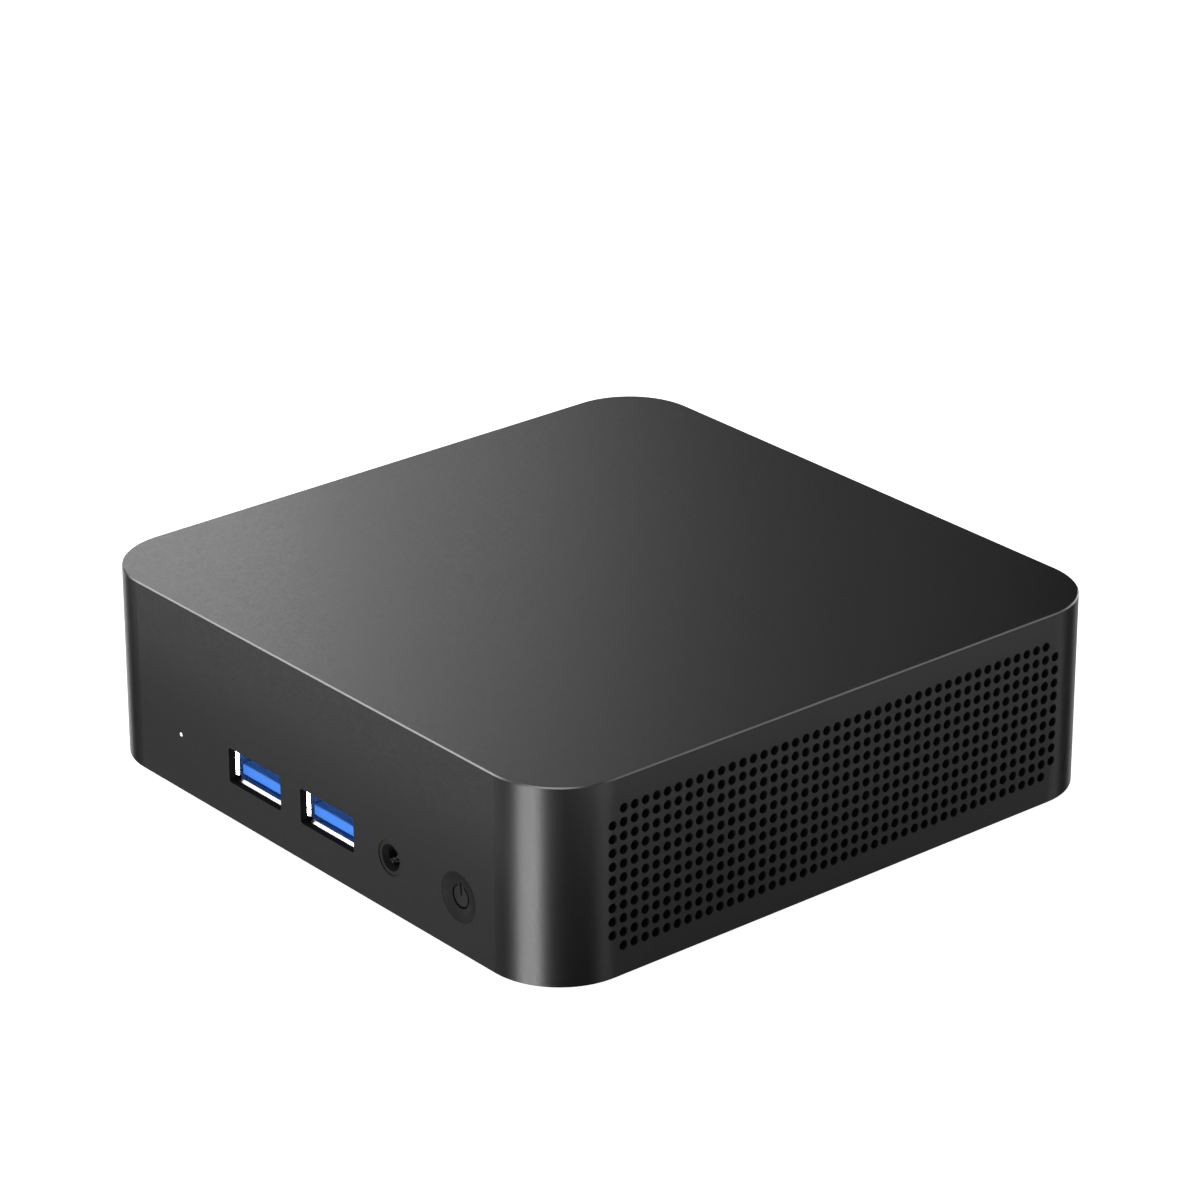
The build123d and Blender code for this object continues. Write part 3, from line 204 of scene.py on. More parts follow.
def hole_walls(g):
    """The bores through the perforated panels, which are turned away from the side; they are painted
    near-black as shade.
    """
    return under(g, facing(g, "X"), 0.9)


def opening_edges(g):
    """The cut edges of the front openings, painted near-black as shade: near the front, between the corners,
    turned away from it.
    """
    return all_of(
        g,
        under(g, g.math("ABSOLUTE", place(g, "X")), STRAIGHT_HALF),
        under(g, place(g, "Y"), LOW.y + WALL_DEPTH),
        between(g, place(g, "Z"), LOW.z + OPENINGS_FROM, LOW.z + OPENINGS_TO),
        under(g, facing(g, "Y"), 0.5),
    )


def engraved(g):
    """The floor and walls of the engraved symbol, which take the black of the coat's base."""
    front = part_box("power_button")[0].y
    return between(g, place(g, "Y"), front + SYMBOL_FROM, front + SYMBOL_TO)


def inside_lan(g):
    """The walls of the network socket's opening, behind its steel rim."""
    low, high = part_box("lan_socket")
    middle = (low + high) / 2
    return all_of(
        g,
        between(g, place(g, "X"), middle.x - LAN_HALF, middle.x + LAN_HALF),
        between(g, place(g, "Z"), low.z + LAN_RIM_UNDER, high.z - LAN_RIM_OVER),
        under(g, place(g, "Y"), high.y - LAN_RIM_DEPTH),
    )


def jack_collar(g):
    """The flat ring round the mouth of the audio jack."""
    return all_of(
        g,
        under(g, place(g, "Y"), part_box("audio_jack")[0].y + COLLAR_DEPTH),
        over(g, facing(g, "Y"), SQUARE_ON),
    )


def cut_edge(g):
    """The narrow chamfer round the top face, machined after the coat."""
    return all_of(
        g,
        between(g, facing(g, "Z"), 0.3, SQUARE_ON),
        over(g, place(g, "Z"), HIGH.z - CHAMFER_BAND),
    )


# ---- materials: grain in features per metre, relief in millimetres -------------------------------
DRIFT_SCALE = 55.0
GLOSS_SWING = 0.1                # share by which the grain moves the roughness either way
GRAIN_STRENGTH = 0.15
STAIN_SCALE = 90.0
STAIN_FROM = 0.52                # the noise at which a stain starts, and where it is full
STAIN_TO = 0.75
STAIN_SHARE = 0.6
STAIN_ROUGHENS = 1.3
TRACK_SCALE = 260.0
TRACK_THRESHOLD = 0.72
TRACK_LIGHTENS = 1.9
PAD_SCALE = 420.0
PAD_RADIUS = 0.16                # in cells of the pad pattern
TINNED = (0.55, 0.55, 0.52)
BODY_BASE = (0.0060, 0.0060, 0.0063)
BODY_ROUGHNESS = 0.34
BODY_SPECULAR = 0.24
# near-black: the own black of the audio jack and the engraved symbol, and painted shade on the openings' cut
# edges and the vent bores
BLACK_AND_SHADE = (0.0008, 0.0008, 0.0008)
INSULATOR_BLACK = (0.010, 0.010, 0.011)
ALONG_X = (0.05, 1.0, 1.0)       # stretches of the grain, as brushing along an axis leaves it
ALONG_Y = (1.0, 0.05, 1.0)


def surface(name, base, roughness, vary=0.08, grain=1500.0, relief=0.02,
            metallic=0.0, stretch=None, **sockets):
    """A moulded, coated or rolled surface: slow colour drift, fine grain in the gloss and a little relief."""
    g = Graph(name)
    slow = g.noise(DRIFT_SCALE, 4.0)
    fine = g.noise(grain, 2.0, 0.5, stretch)
    lighter = tuple(c * (1 + vary) for c in base)
    darker = tuple(c * (1 - vary) for c in base)
    g.join(g.mix(slow, darker, lighter), g.shader.inputs["Base Color"])
    rough = g.remap(fine, 0.3, 0.7, roughness * (1 - GLOSS_SWING), roughness * (1 + GLOSS_SWING))
    g.join(rough, g.shader.inputs["Roughness"])
    g.bump(fine, GRAIN_STRENGTH, relief * MM)
    g.set(Metallic=metallic, **sockets)
    return g


def mark(g, mask, colour, roughness):
    """Repaints what the mask covers."""
    below = g.shader.inputs["Base Color"].links[0].from_socket
    g.join(g.mix(mask, below, colour), g.shader.inputs["Base Color"])
    rough = g.shader.inputs["Roughness"].links[0].from_socket
    g.join(g.mix_number(mask, rough, roughness), g.shader.inputs["Roughness"])


def satin_grey(name, *marks, bare=None):
    """The dark grey satin coat of the case, with each (mask, colour, roughness) painted over it.

    bare is one more such mark, where the coat has been cut through to the bright metal."""
    g = surface(name, BODY_BASE, BODY_ROUGHNESS, vary=0.05, grain=2600.0, relief=0.010,
                Specular_IOR_Level=BODY_SPECULAR)
    for mask, colour, roughness in marks:
        mark(g, mask(g), colour, roughness)
    if bare:
        mask, colour, roughness = bare
        metal = mask(g)
        mark(g, metal, colour, roughness)
        g.join(metal, g.shader.inputs["Metallic"])
    return g.material


def solder_mask(name, base):
    """Lacquered board: fine copper tracks show as lighter lines, and bare tinned pads as dots."""
    g = surface(name, base, 0.32, vary=0.10, grain=900.0, relief=0.01, Specular_IOR_Level=0.5)
    tracks = g.add("ShaderNodeTexWave", wave_type="BANDS", bands_direction="DIAGONAL")
    tracks.inputs["Scale"].default_value = TRACK_SCALE
    tracks.inputs["Distortion"].default_value = 6.0
    tracks.inputs["Detail"].default_value = 1.0
    tracks.inputs["Detail Scale"].default_value = 0.4
    g.join(g.coordinates, tracks.inputs["Vector"])
    line = over(g, tracks.outputs["Fac"], TRACK_THRESHOLD)
    mark(g, line, tuple(c * TRACK_LIGHTENS for c in base), 0.30)
    pads = g.add("ShaderNodeTexVoronoi", feature="F1")
    pads.inputs["Scale"].default_value = PAD_SCALE
    g.join(g.coordinates, pads.inputs["Vector"])
    mark(g, under(g, pads.outputs["Distance"], PAD_RADIUS), TINNED, 0.25)
    return g.material


def bare_metal(name, base, roughness, stretch=None, stain=None):
    """Plain or brushed metal; stain is the colour of slow tarnish over it."""
    g = surface(name, base, roughness, vary=0.05, grain=1800.0, relief=0.006, metallic=1.0, stretch=stretch)
    if stain:
        patches = g.remap(g.noise(STAIN_SCALE, 5.0), STAIN_FROM, STAIN_TO, 0.0, STAIN_SHARE)
        mark(g, patches, stain, roughness * STAIN_ROUGHENS)
    return g.material


def jack_plastic():
    """Deep black inside, with the collar in the tone of the case."""
    g = surface("jack_plastic", BLACK_AND_SHADE, 0.70, vary=0.10, relief=0.01, Specular_IOR_Level=BODY_SPECULAR)
    mark(g, jack_collar(g), BODY_BASE, 0.40)
    return g.material


def lan_shield():
    """A steel shield round a black insulator."""
    g = surface("lan_shield", (0.72, 0.72, 0.73), 0.32, vary=0.05, grain=1200.0, relief=0.004,
                stretch=ALONG_X)
    inside = inside_lan(g)
    mark(g, inside, INSULATOR_BLACK, 0.55)
    g.join(g.math("SUBTRACT", 1.0, inside), g.shader.inputs["Metallic"])
    return g.material


def plastic(name, base, roughness, **settings):
    return surface(name, base, roughness, **settings).material


# painted shade: the cut edges of the front openings are painted near-black where shade falls in them
opening_edge_shade = (opening_edges, BLACK_AND_SHADE, 0.95)
bright_edge = (cut_edge, (0.20, 0.20, 0.205), 0.34)
MATERIALS = {
    "housing": satin_grey("housing_satin", opening_edge_shade, bare=bright_edge),
    # painted shade: the bores of the vent panels are painted near-black
    "vent": satin_grey("vent_satin", (hole_walls, BLACK_AND_SHADE, 0.95)),
    "button": satin_grey("button_satin", (engraved, BLACK_AND_SHADE, 0.9)),
    "black_plastic": plastic("black_plastic", INSULATOR_BLACK, 0.50, Specular_IOR_Level=0.35),
    "cover_black": plastic("cover_black", (0.015, 0.015, 0.016), 0.58, vary=0.10, grain=2200.0,
                           relief=0.05, Specular_IOR_Level=0.35),
    "foot_rubber": plastic("foot_rubber", (0.013, 0.013, 0.013), 0.80, vary=0.15, grain=2500.0,
                           relief=0.06, Sheen_Weight=0.15),
    "screw_steel": bare_metal("screw_steel", (0.20, 0.20, 0.21), 0.34),
    "insert_brass": bare_metal("insert_brass", (0.72, 0.50, 0.20), 0.30, stain=(0.45, 0.28, 0.10)),
    "board_green": solder_mask("board_green", (0.008, 0.045, 0.025)),
    "port_steel": bare_metal("port_steel", (0.90, 0.90, 0.91), 0.26, stretch=ALONG_X),
    "usb_blue": plastic("usb_blue", (0.034, 0.170, 0.620), 0.40, vary=0.04, grain=1200.0,
                        relief=0.008, Specular_IOR_Level=0.3),
    "jack": jack_plastic(),
    "lan": lan_shield(),
    "light_pipe": plastic("light_pipe", (0.90, 0.92, 0.95), 0.25, vary=0.02, Emission_Strength=0.2,
                          Emission_Color=(1.0, 1.0, 1.0)),
    "chip_black": plastic("chip_black", (0.014, 0.014, 0.015), 0.50, vary=0.12, grain=3000.0, relief=0.03),
    "cell_steel": bare_metal("cell_steel", (0.65, 0.65, 0.66), 0.30, stretch=ALONG_Y),
    "copper": bare_metal("copper", (0.82, 0.39, 0.23), 0.24, stain=(0.62, 0.27, 0.15)),
    "fin_aluminium": bare_metal("fin_aluminium", (0.75, 0.75, 0.77), 0.36, stretch=ALONG_X),
    "silicon": plastic("silicon", (0.05, 0.055, 0.070), 0.08, vary=0.15, grain=400.0, relief=0.001),
    "gold": bare_metal("gold", (0.90, 0.62, 0.22), 0.24, stretch=ALONG_Y),
    "lamp_green": plastic("lamp_green", (0.05, 0.45, 0.12), 0.25, vary=0.05, grain=900.0, relief=0.01),
    "lamp_amber": plastic("lamp_amber", (0.75, 0.30, 0.04), 0.25, vary=0.05, grain=900.0, relief=0.01),
}
# CAD nodes whose finish isn't simply that of their slot
NODE_MATERIALS = {
    "housing": "housing",
    "right_vent_panel": "vent",
    "left_vent_panel": "vent",
    "power_button": "button",
    "audio_jack": "jack",
    "lan_socket": "lan",
}
for part in frame["record"]["subparts"]:
    node = NODES[part["node"]]
    node.data.materials.clear()
    node.data.materials.append(MATERIALS[NODE_MATERIALS.get(part["node"], part["material_slot"])])


# ---- piece helpers: shapes are drawn in millimetres ----------------------------------------------
SHARP_ANGLE = math.radians(40)   # edges that turn further stay sharp under smooth shading
EASE = 0.25                      # share of each stretch of a ribbon that an eased corner takes


def piece(name, shape, material, smooth=False):
    """Finishes a mesh that was drawn in millimetres; everything made here rides on the chassis."""
    bmesh.ops.recalc_face_normals(shape, faces=shape.faces)
    bmesh.ops.scale(shape, vec=(MM, MM, MM), verts=shape.verts)
    mesh = bpy.data.meshes.new(name)
    shape.to_mesh(mesh)
    shape.free()
    if smooth:
        for face in mesh.polygons:
            face.use_smooth = True
        mesh.set_sharp_from_angle(angle=SHARP_ANGLE)
    mesh.materials.append(MATERIALS[material])
    made = bpy.data.objects.new(name, mesh)
    bpy.context.scene.collection.objects.link(made)
    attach(made, "chassis")


def close_rings(shape, rings):
    """Skins a chain of equal rings of vertices and caps both ends."""
    count = len(rings[0])
    for first, second in zip(rings, rings[1:]):
        for k in range(count):
            after = (k + 1) % count
            shape.faces.new((first[k], first[after], second[after], second[k]))
    shape.faces.new(list(reversed(rings[0])))
    shape.faces.new(rings[-1])


def ribbon(shape, points, across, thickness):
    """A bent strip of rectangular section; across is its width as a vector. Inner corners are eased."""
    corners = [Vector(p) for p in points]
    path = [corners[0]]
    for before, corner, after in zip(corners, corners[1:], corners[2:]):
        start = corner.lerp(before, EASE)
        end = corner.lerp(after, EASE)
        path += [start, (start + end) / 4 + corner / 2, end]
    path.append(corners[-1])
    half = Vector(across) / 2
    rings = []
    for index, point in enumerate(path):
        along = path[min(index + 1, len(path) - 1)] - path[max(index - 1, 0)]
        up = along.cross(half).normalized() * (thickness / 2)
        rings.append([shape.verts.new(point + side * half + rise * up)
                      for side, rise in ((-1, -1), (1, -1), (1, 1), (-1, 1))])
    close_rings(shape, rings)


def brick(shape, centre, size, bevel=0.0):
    """A small box, with its edges broken where a bevel is given."""
    at = Matrix.Translation(Vector(centre)) @ Matrix.Diagonal((*size, 1.0))
    made = bmesh.ops.create_cube(shape, size=1.0, matrix=at)
    if bevel:
        edges = list({edge for vert in made["verts"] for edge in vert.link_edges})
        bmesh.ops.bevel(shape, geom=edges, offset=bevel, segments=1, affect="EDGES")


def box_mm(node):
    """A node's lowest corner, highest corner and middle, in millimetres."""
    low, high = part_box(node)
    return low / MM, high / MM, (low + high) / 2 / MM


# ---- USB receptacles: contacts on the tongue and springs in the shell ----------------------------
TONGUE_TOP = 0.05                # the tongue's upper face over the middle of the opening
SHELL_HALF = 2.53
# each strip: places across the mouth, (depth, rise) along its length, width, thickness
SPRUNG_CONTACTS = ((-3.5, -1.0, 1.0, 3.5), ((4.2, -0.05), (4.9, 0.42), (6.4, 0.10), (9.3, 0.06)), 1.0, 0.15)
FLAT_CONTACTS = ((-4.0, -2.0, 0.0, 2.0, 4.0), ((2.3, 0.0), (3.0, 0.03), (3.8, 0.0)), 0.6, 0.08)
# places across the mouth, (depth, gap to the shell), width, thickness
SHELL_SPRINGS = ((-3.2, 3.2), ((9.5, 0.0), (5.0, 0.5), (3.8, 0.6), (2.8, 0.15)), 2.0, 0.2)


def usb_details(port, inward):
    """inward is the Y direction from the mouth into the body."""
    low, high, middle = box_mm(f"{port}_tongue")
    mouth = low.y if inward > 0 else high.y
    top = middle.z + TONGUE_TOP

    def at(across, depth, height):
        return (middle.x + across, mouth + inward * depth, height)

    contacts = bmesh.new()
    for places, profile, width, thickness in (SPRUNG_CONTACTS, FLAT_CONTACTS):
        for x in places:
            ribbon(contacts, [at(x, depth, top + rise) for depth, rise in profile], (width, 0, 0), thickness)
    piece(f"{port}_contacts", contacts, "gold", smooth=True)
    springs = bmesh.new()
    places, profile, width, thickness = SHELL_SPRINGS
    for x in places:
        for side in (-1, 1):
            line = [at(x, depth, middle.z + side * (SHELL_HALF - gap)) for depth, gap in profile]
            ribbon(springs, line, (width, 0, 0), thickness)
    piece(f"{port}_springs", springs, "port_steel", smooth=True)


usb_details("front_usb_left", 1)
usb_details("front_usb_right", 1)
usb_details("rear_usb", -1)

# ---- audio jack: three contact springs round the bore --------------------------------------------
JACK_SPRING_TURNS = (-38, 90, 200)           # degrees about the bore
JACK_SPRING_PROFILE = ((1.0, 1.72), (2.4, 1.72), (3.6, 1.38), (6.0, 1.70))     # depth, radius
JACK_SPRING_WIDTH = 0.9
JACK_SPRING_THICKNESS = 0.12


def jack_springs():
    low, _, middle = box_mm("audio_jack")
    axis = Vector((middle.x, low.y, middle.z))
    springs = bmesh.new()
    for turn in JACK_SPRING_TURNS:
        angle = math.radians(turn)
        out = Vector((math.sin(angle), 0, -math.cos(angle)))
        line = [axis + out * radius + Vector((0, depth, 0)) for depth, radius in JACK_SPRING_PROFILE]
        ribbon(springs, line, out.cross(Vector((0, JACK_SPRING_WIDTH, 0))), JACK_SPRING_THICKNESS)
    piece("audio_jack_springs", springs, "port_steel", smooth=True)


jack_springs()

# ---- rear connectors -----------------------------------------------------------------------------
HDMI_CONTACTS = 19
HDMI_PITCH = 0.5
HDMI_LIFT = 0.03                 # the contacts' middles off the tongue
HDMI_DEPTHS = (0.5, 4.0, 8.8)
LAN_WIRES = 8
LAN_PITCH = 1.02
LAN_WIRE_PROFILE = ((13.8, 3.2), (4.2, 3.3), (3.4, 2.7), (11.0, 0.4))          # depth, height
LAN_LAMPS = (("lan_link_lamp", -1, "lamp_green"), ("lan_speed_lamp", 1, "lamp_amber"))
LAMP_ACROSS = 6.9                # of a lamp from the middle of the socket, and above it
LAMP_UP = 4.7
DC_SPRING_PROFILE = ((9.0, 3.02), (4.0, 2.35), (2.5, 2.25), (0.8, 2.95))       # depth, drop from the pin


def hdmi_contacts(number):
    """The contacts lie under and over the tongue by turns, one more of them under it."""
    low, high, middle = box_mm(f"hdmi_{number}_tongue")
    strips = bmesh.new()
    for index in range(HDMI_CONTACTS):
        on_top = index % 2
        height = high.z + HDMI_LIFT if on_top else low.z - HDMI_LIFT
        x = middle.x + (index - HDMI_CONTACTS // 2) * HDMI_PITCH
        ribbon(strips, [(x, high.y - depth, height) for depth in HDMI_DEPTHS], (0.28, 0, 0), 0.08)
    piece(f"hdmi_{number}_contacts", strips, "gold")


def lan_details():
    """The sprung wires and the two little windows for the link lamps."""
    _, high, middle = box_mm("lan_socket")
    wires = bmesh.new()
    for index in range(LAN_WIRES):
        x = middle.x + (index - (LAN_WIRES - 1) / 2) * LAN_PITCH
        line = [(x, high.y - depth, middle.z + rise) for depth, rise in LAN_WIRE_PROFILE]
        ribbon(wires, line, (0.45, 0, 0), 0.3)
    piece("lan_contacts", wires, "gold", smooth=True)
    for name, side, material in LAN_LAMPS:
        window = bmesh.new()
        centre = (middle.x + side * LAMP_ACROSS, high.y - 0.05, middle.z + LAMP_UP)
        brick(window, centre, (1.7, 0.5, 1.3), 0.15)
        piece(name, window, material)


def dc_spring():
    """The leaf that presses on the barrel of the power plug."""
    _, high, middle = box_mm("dc_jack_pin")
    leaf = bmesh.new()
    line = [(middle.x, high.y - depth, middle.z - drop) for depth, drop in DC_SPRING_PROFILE]
    ribbon(leaf, line, (1.8, 0, 0), 0.2)
    piece("dc_jack_spring", leaf, "port_steel", smooth=True)


hdmi_contacts(1)
hdmi_contacts(2)
lan_details()
dc_spring()

# ---- threads in the bracket bushes ---------------------------------------------------------------
THREAD_PITCH = 0.5
THREAD_STEPS = 24
THREAD_ROOT = 1.27               # sunk in the bush
THREAD_CREST = 1.12
THREAD_FLANK = 0.2               # half the width of the ridge at its root
BUSH_RADIUS = 2.4


def bracket_threads():
    """One ridge wound up each bush, starting and ending a turn inside it."""
    low, high, _ = box_mm("bracket_bushes")
    turns = int((high.z - low.z) / THREAD_PITCH) - 2
    threads = bmesh.new()
    for centre_x in (low.x + BUSH_RADIUS, high.x - BUSH_RADIUS):
        rings = []
        for step in range(turns * THREAD_STEPS + 1):
            angle = 2 * math.pi * step / THREAD_STEPS
            heart = Vector((centre_x, 0, low.z + THREAD_PITCH * (1 + step / THREAD_STEPS)))
            out = Vector((math.cos(angle), math.sin(angle), 0))
            rings.append([threads.verts.new(heart + out * radius + Vector((0, 0, rise)))
                          for radius, rise in ((THREAD_ROOT, -THREAD_FLANK), (THREAD_CREST, 0.0),
                                               (THREAD_ROOT, THREAD_FLANK))])
        close_rings(threads, rings)
    piece("bracket_threads", threads, "insert_brass")


bracket_threads()

# ---- small parts on both faces of the mainboard --------------------------------------------------
SMALL_SIZES = ((1.6, 0.8, 0.5), (1.0, 0.5, 0.4), (2.0, 1.25, 0.8),
               (3.2, 1.6, 1.0), (3.0, 3.0, 0.9), (5.0, 4.4, 1.2))
TRIES = 900
REACH_X = 50.0                   # furthest a part's middle is tried from the board's middle
REACH_Y = 46.0
CORNER_KEEP_OUT = 41.0           # the board's corners beyond this both ways stay empty
PART_GAP = 0.4                   # least room between two small parts, and beside a CAD part
CAD_GAP = 0.3
SCREW_PLACES = [(x, y) for x in (-47.5, 47.5) for y in (-35.0, 35.0)]
SCREW_GAP = 6.5
CHIP_SHARE = 0.62                # of a part's length that is its dark body
CHIP_BEVEL = 0.05
TIP_SHARE = 0.2                  # of its length that each tinned end takes, and how far out that sits
TIP_PLACE = 0.40
TIP_SCALE = 0.94                 # an end's width and height beside the body's
# CAD parts whose boxes hang over the board or reach round it, and so don't bar a small part
HIGH_UP = ("heat_pipe", "cold_plate", "fan_housing", "fan_cover", "fin_stack", "fan_rotor", "fan_stator",
           "fan_bearing", "fan_shaft")
ROUND_THE_BOARD = ("mainboard", "housing", "bottom_cover", "rubber_feet", "bottom_cover_screws",
                   "threaded_inserts", "bracket_bushes", "rear_io_panel", "left_vent_panel",
                   "right_vent_panel", "board_screws")
PACKED = [box_mm(name) for name in sorted(NODES) if name not in HIGH_UP + ROUND_THE_BOARD]


def is_clear(x, y, z, size_x, size_y, tall, placed):
    """Whether a part of this size would stand free of the others, the screws and the CAD parts."""
    half_x, half_y, half_z = size_x / 2, size_y / 2, tall / 2
    return (
        all(abs(x - px) > (size_x + sx) / 2 + PART_GAP or abs(y - py) > (size_y + sy) / 2 + PART_GAP
            for px, py, sx, sy in placed)
        and all(math.hypot(x - sx, y - sy) > SCREW_GAP for sx, sy in SCREW_PLACES)
        and not (abs(x) > CORNER_KEEP_OUT and abs(y) > CORNER_KEEP_OUT)
        and all(x + half_x < low.x - CAD_GAP or x - half_x > high.x + CAD_GAP
                or y + half_y < low.y - CAD_GAP or y - half_y > high.y + CAD_GAP
                or z + half_z < low.z or z - half_z > high.z
                for low, high, _ in PACKED)
    )


def small_parts(label, face_z, side):
    """Chips, resistors and capacitors with tinned ends; side is 1 for up and -1 for down."""
    chips = bmesh.new()
    ends = bmesh.new()
    placed = []
    for _ in range(TRIES):
        long, wide, tall = random.choice(SMALL_SIZES)
        along_x = random.random() < 0.5
        size_x, size_y = (long, wide) if along_x else (wide, long)
        x = random.uniform(-REACH_X, REACH_X)
        y = random.uniform(-REACH_Y, REACH_Y)
        z = face_z + side * tall / 2
        if not is_clear(x, y, z, size_x, size_y, tall, placed):
            continue
        placed.append((x, y, size_x, size_y))
        tip_height = tall * TIP_SCALE
        if along_x:
            body = (size_x * CHIP_SHARE, size_y, tall)
            tip = (size_x * TIP_SHARE, size_y * TIP_SCALE, tip_height)
            shift = Vector((size_x * TIP_PLACE, 0, 0))
        else:
            body = (size_x, size_y * CHIP_SHARE, tall)
            tip = (size_x * TIP_SCALE, size_y * TIP_SHARE, tip_height)
            shift = Vector((0, size_y * TIP_PLACE, 0))
        brick(chips, (x, y, z), body, CHIP_BEVEL)
        for end in (-1, 1):
            brick(ends, Vector((x, y, z)) + end * shift, tip)
    piece(f"small_parts_{label}", chips, "chip_black")
    piece(f"small_part_ends_{label}", ends, "cell_steel")


board_low, board_high, _ = box_mm("mainboard")
small_parts("over", board_high.z, 1)
small_parts("under", board_low.z, -1)

# ---- camera: the photograph's angle --------------------------------------------------------------
CAMERA_AZIMUTH = math.radians(49.96)
CAMERA_ELEVATION = math.radians(24.31)
CAMERA_PLACE = Vector((0.5400, -0.4532, 0.3484))
CAMERA_LENS = 145.9              # lens and sensor in millimetres
CAMERA_SENSOR = 36.0
CAMERA_CLIP = (0.01, 50.0)

camera = bpy.data.objects.new("camera", bpy.data.cameras.new("camera"))
bpy.context.scene.collection.objects.link(camera)
camera.data.lens = CAMERA_LENS
camera.data.sensor_width = CAMERA_SENSOR
camera.data.clip_start, camera.data.clip_end = CAMERA_CLIP
camera.location = CAMERA_PLACE
camera.rotation_euler = (math.pi / 2 - CAMERA_ELEVATION, 0.0, CAMERA_AZIMUTH)
bpy.context.scene.camera = camera
bpy.context.scene.view_settings.view_transform = "Standard"

# ---- floor, backdrop and world -------------------------------------------------------------------
WHITE = (1.0, 1.0, 1.0)
STUDIO_RADIUS = 30.0
PAPER_DROP = 0.1 * MM            # keeps the paper from touching the feet
PAPER_GLOW = 1.0
PAPER_SCALE = 3.0
PAPER_TONES = ((0.80, 0.80, 0.80), (0.82, 0.82, 0.82))
WORLD_STRENGTH = 0.03

paper = Graph("studio_paper")
paper.join(paper.mix(paper.noise(PAPER_SCALE), *PAPER_TONES), paper.shader.inputs["Base Color"])
paper.set(Roughness=0.9, Specular_IOR_Level=0.1, Emission_Strength=PAPER_GLOW, Emission_Color=WHITE)


def white_paper(name, shape):
    """Lit paper of the studio: it shows, and adds nothing to the object's own light."""
    mesh = bpy.data.meshes.new(name)
    shape.to_mesh(mesh)
    shape.free()
    mesh.materials.append(paper.material)
    made = bpy.data.objects.new(name, mesh)
    bpy.context.scene.collection.objects.link(made)
    made.visible_glossy = False
    made.visible_diffuse = False
    made.visible_shadow = False
    made.location.z = -PAPER_DROP


table = bmesh.new()
bmesh.ops.create_circle(table, cap_ends=True, segments=96, radius=STUDIO_RADIUS)
white_paper("floor", table)
dome = bmesh.new()
bmesh.ops.create_uvsphere(dome, u_segments=48, v_segments=24, radius=STUDIO_RADIUS)
bmesh.ops.delete(dome, geom=[vert for vert in dome.verts if vert.co.z < -MM], context="VERTS")
white_paper("backdrop", dome)

world = bpy.data.worlds.new("studio")
bpy.context.scene.world = world
world.use_nodes = True
background = world.node_tree.nodes["Background"]
background.inputs["Color"].default_value = (*WHITE, 1.0)
background.inputs["Strength"].default_value = WORLD_STRENGTH

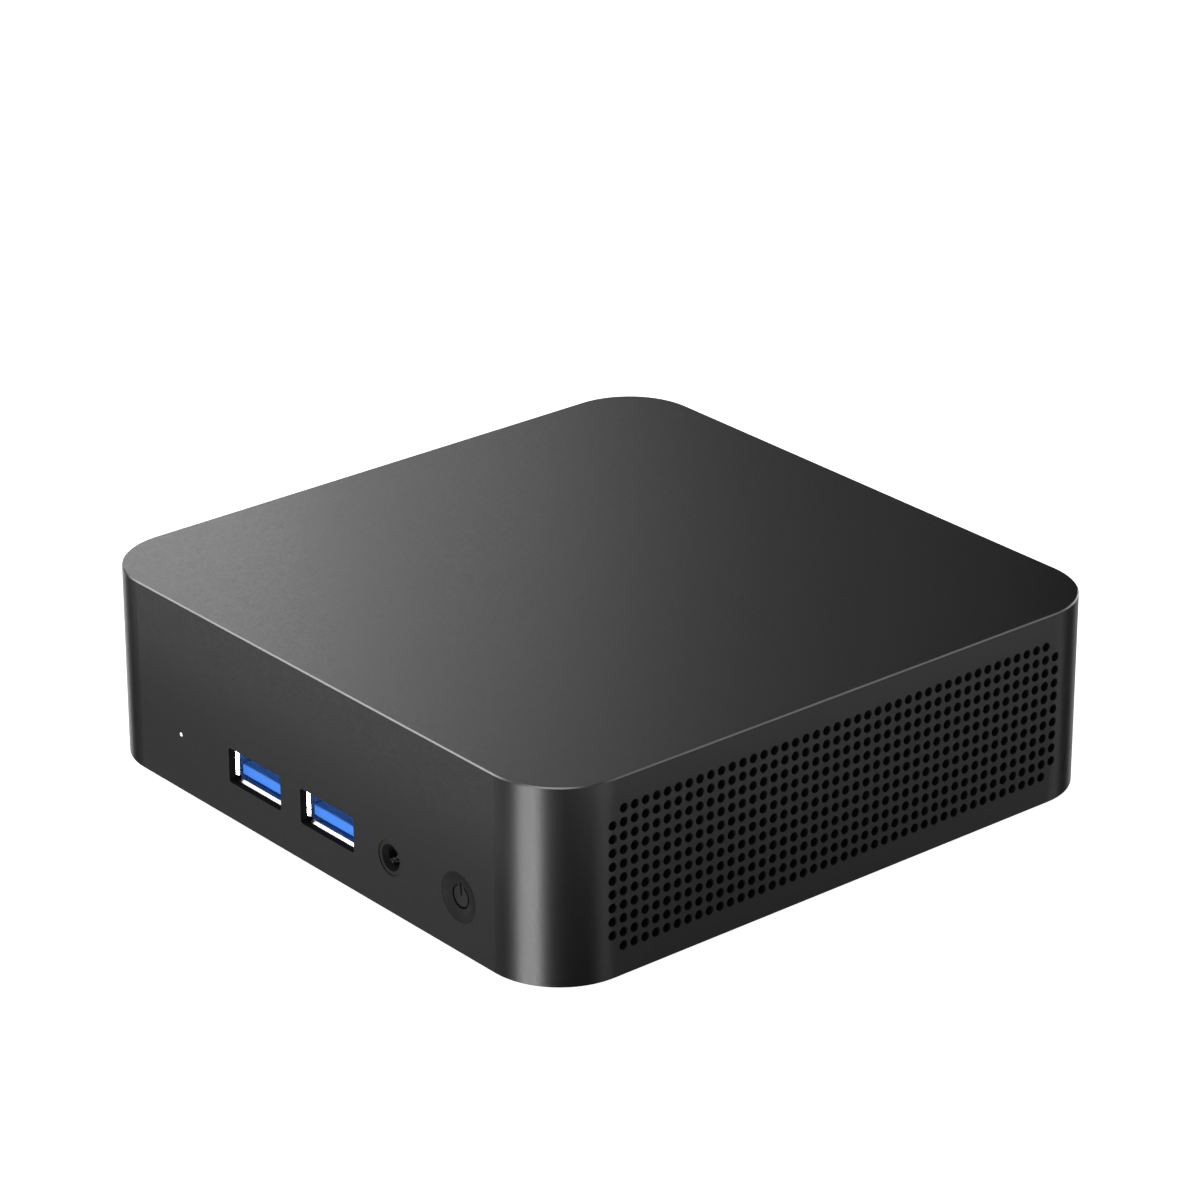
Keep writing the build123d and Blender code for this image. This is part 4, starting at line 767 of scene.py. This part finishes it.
# ---- lights --------------------------------------------------------------------------------------
# Soft boxes aimed at the object: azimuth (0 is in front of the front face, 90 is to its right), elevation,
# distance, width, height, power in watts. Those below the horizon stand for cards mirrored in the table.
LIGHTS = {
    "corner_card_right": (18.0, -26.0, 1.0, 0.20, 0.50, 7.5),
    "corner_card_left": (2.0, -26.0, 1.0, 0.20, 0.50, 6.2),
    "front_card": (-50.0, -26.0, 1.0, 0.30, 0.30, 0.3),
    "side_card": (110.0, -26.0, 1.0, 0.30, 0.30, 0.65),
    "side_card_rear": (145.0, -26.0, 1.0, 0.30, 0.30, 0.4),
    "left_window": (-120.0, 24.0, 1.0, 0.30, 0.30, 0.67),
    "left_near_high": (-105.0, 30.0, 0.35, 0.15, 0.15, 0.10),
    "left_near_low": (-105.0, 15.0, 0.35, 0.15, 0.15, 0.08),
    "left_near_back": (-135.0, 30.0, 0.35, 0.15, 0.15, 0.02),
    "left_edge_card": (-100.0, -26.0, 1.0, 0.30, 0.30, 0.5),
    "rear_edge_card": (-162.0, -26.0, 1.0, 0.30, 0.30, 0.22),
    "front_overhead": (-56.0, 34.0, 1.0, 0.35, 0.50, 2.0),
    "right_overhead": (145.0, 44.0, 1.0, 0.30, 0.30, 0.38),
    "lip_card": (-47.0, 17.5, 1.0, 0.30, 0.30, 0.75),
    "dish_card": (-22.0, 3.0, 1.0, 0.30, 0.30, 0.35),
    "corner_overhead": (32.0, 63.0, 1.0, 0.80, 0.30, 1.9),
    # these four are for views of the rear, the left side and the top from behind
    "rear_fill": (180.0, 0.0, 1.0, 0.50, 0.30, 2.5),
    "left_fill": (-90.0, -5.0, 1.0, 0.50, 0.30, 1.0),
    "near_window": (45.0, 22.0, 1.0, 0.60, 0.30, 1.1),
    "far_window": (180.0, 24.0, 1.0, 0.60, 0.30, 0.9),
}
# Glow of the lit table beside the object: side, nearest and furthest distance from the face, power in watts
TABLE_GLOW = {
    "front_table_glow": ("front", 0.03, 0.06, 0.03),
    "right_table_glow": ("right", 0.12, 0.24, 1.5),
}
GLOW_LENGTH = 0.30
GLOW_SHIFT = 0.03                # along the face, away from the near corner
GLOW_HEIGHT = 0.5 * MM


def lamp(name, width, height, power):
    data = bpy.data.lights.new(name, "AREA")
    data.shape = "RECTANGLE"
    data.size = width
    data.size_y = height
    data.energy = power
    made = bpy.data.objects.new(name, data)
    made.visible_camera = False
    bpy.context.scene.collection.objects.link(made)
    return made


def soft_light(name, azimuth, elevation, distance, width, height, power):
    """A rectangular soft box aimed at the middle of the object."""
    a, e = math.radians(azimuth), math.radians(elevation)
    away = Vector((math.sin(a) * math.cos(e), -math.cos(a) * math.cos(e), math.sin(e)))
    made = lamp(name, width, height, power)
    made.location = CENTRE + away * distance
    made.rotation_euler = (-away).to_track_quat("-Z", "Y").to_euler()


def table_glow(name, side, nearest, furthest, power):
    """A strip that lies on the table beside one face and shines up."""
    made = lamp(name, GLOW_LENGTH, furthest - nearest, power)
    middle = (nearest + furthest) / 2
    if side == "front":
        made.location = (-GLOW_SHIFT, LOW.y - middle, GLOW_HEIGHT)
        made.rotation_euler = (math.pi, 0, 0)
    else:
        made.location = (HIGH.x + middle, GLOW_SHIFT, GLOW_HEIGHT)
        made.rotation_euler = (math.pi, 0, math.pi / 2)


for light_name, numbers in LIGHTS.items():
    soft_light(light_name, *numbers)
for light_name, numbers in TABLE_GLOW.items():
    table_glow(light_name, *numbers)

# ---- finish --------------------------------------------------------------------------------------
bpy.context.view_layer.update()
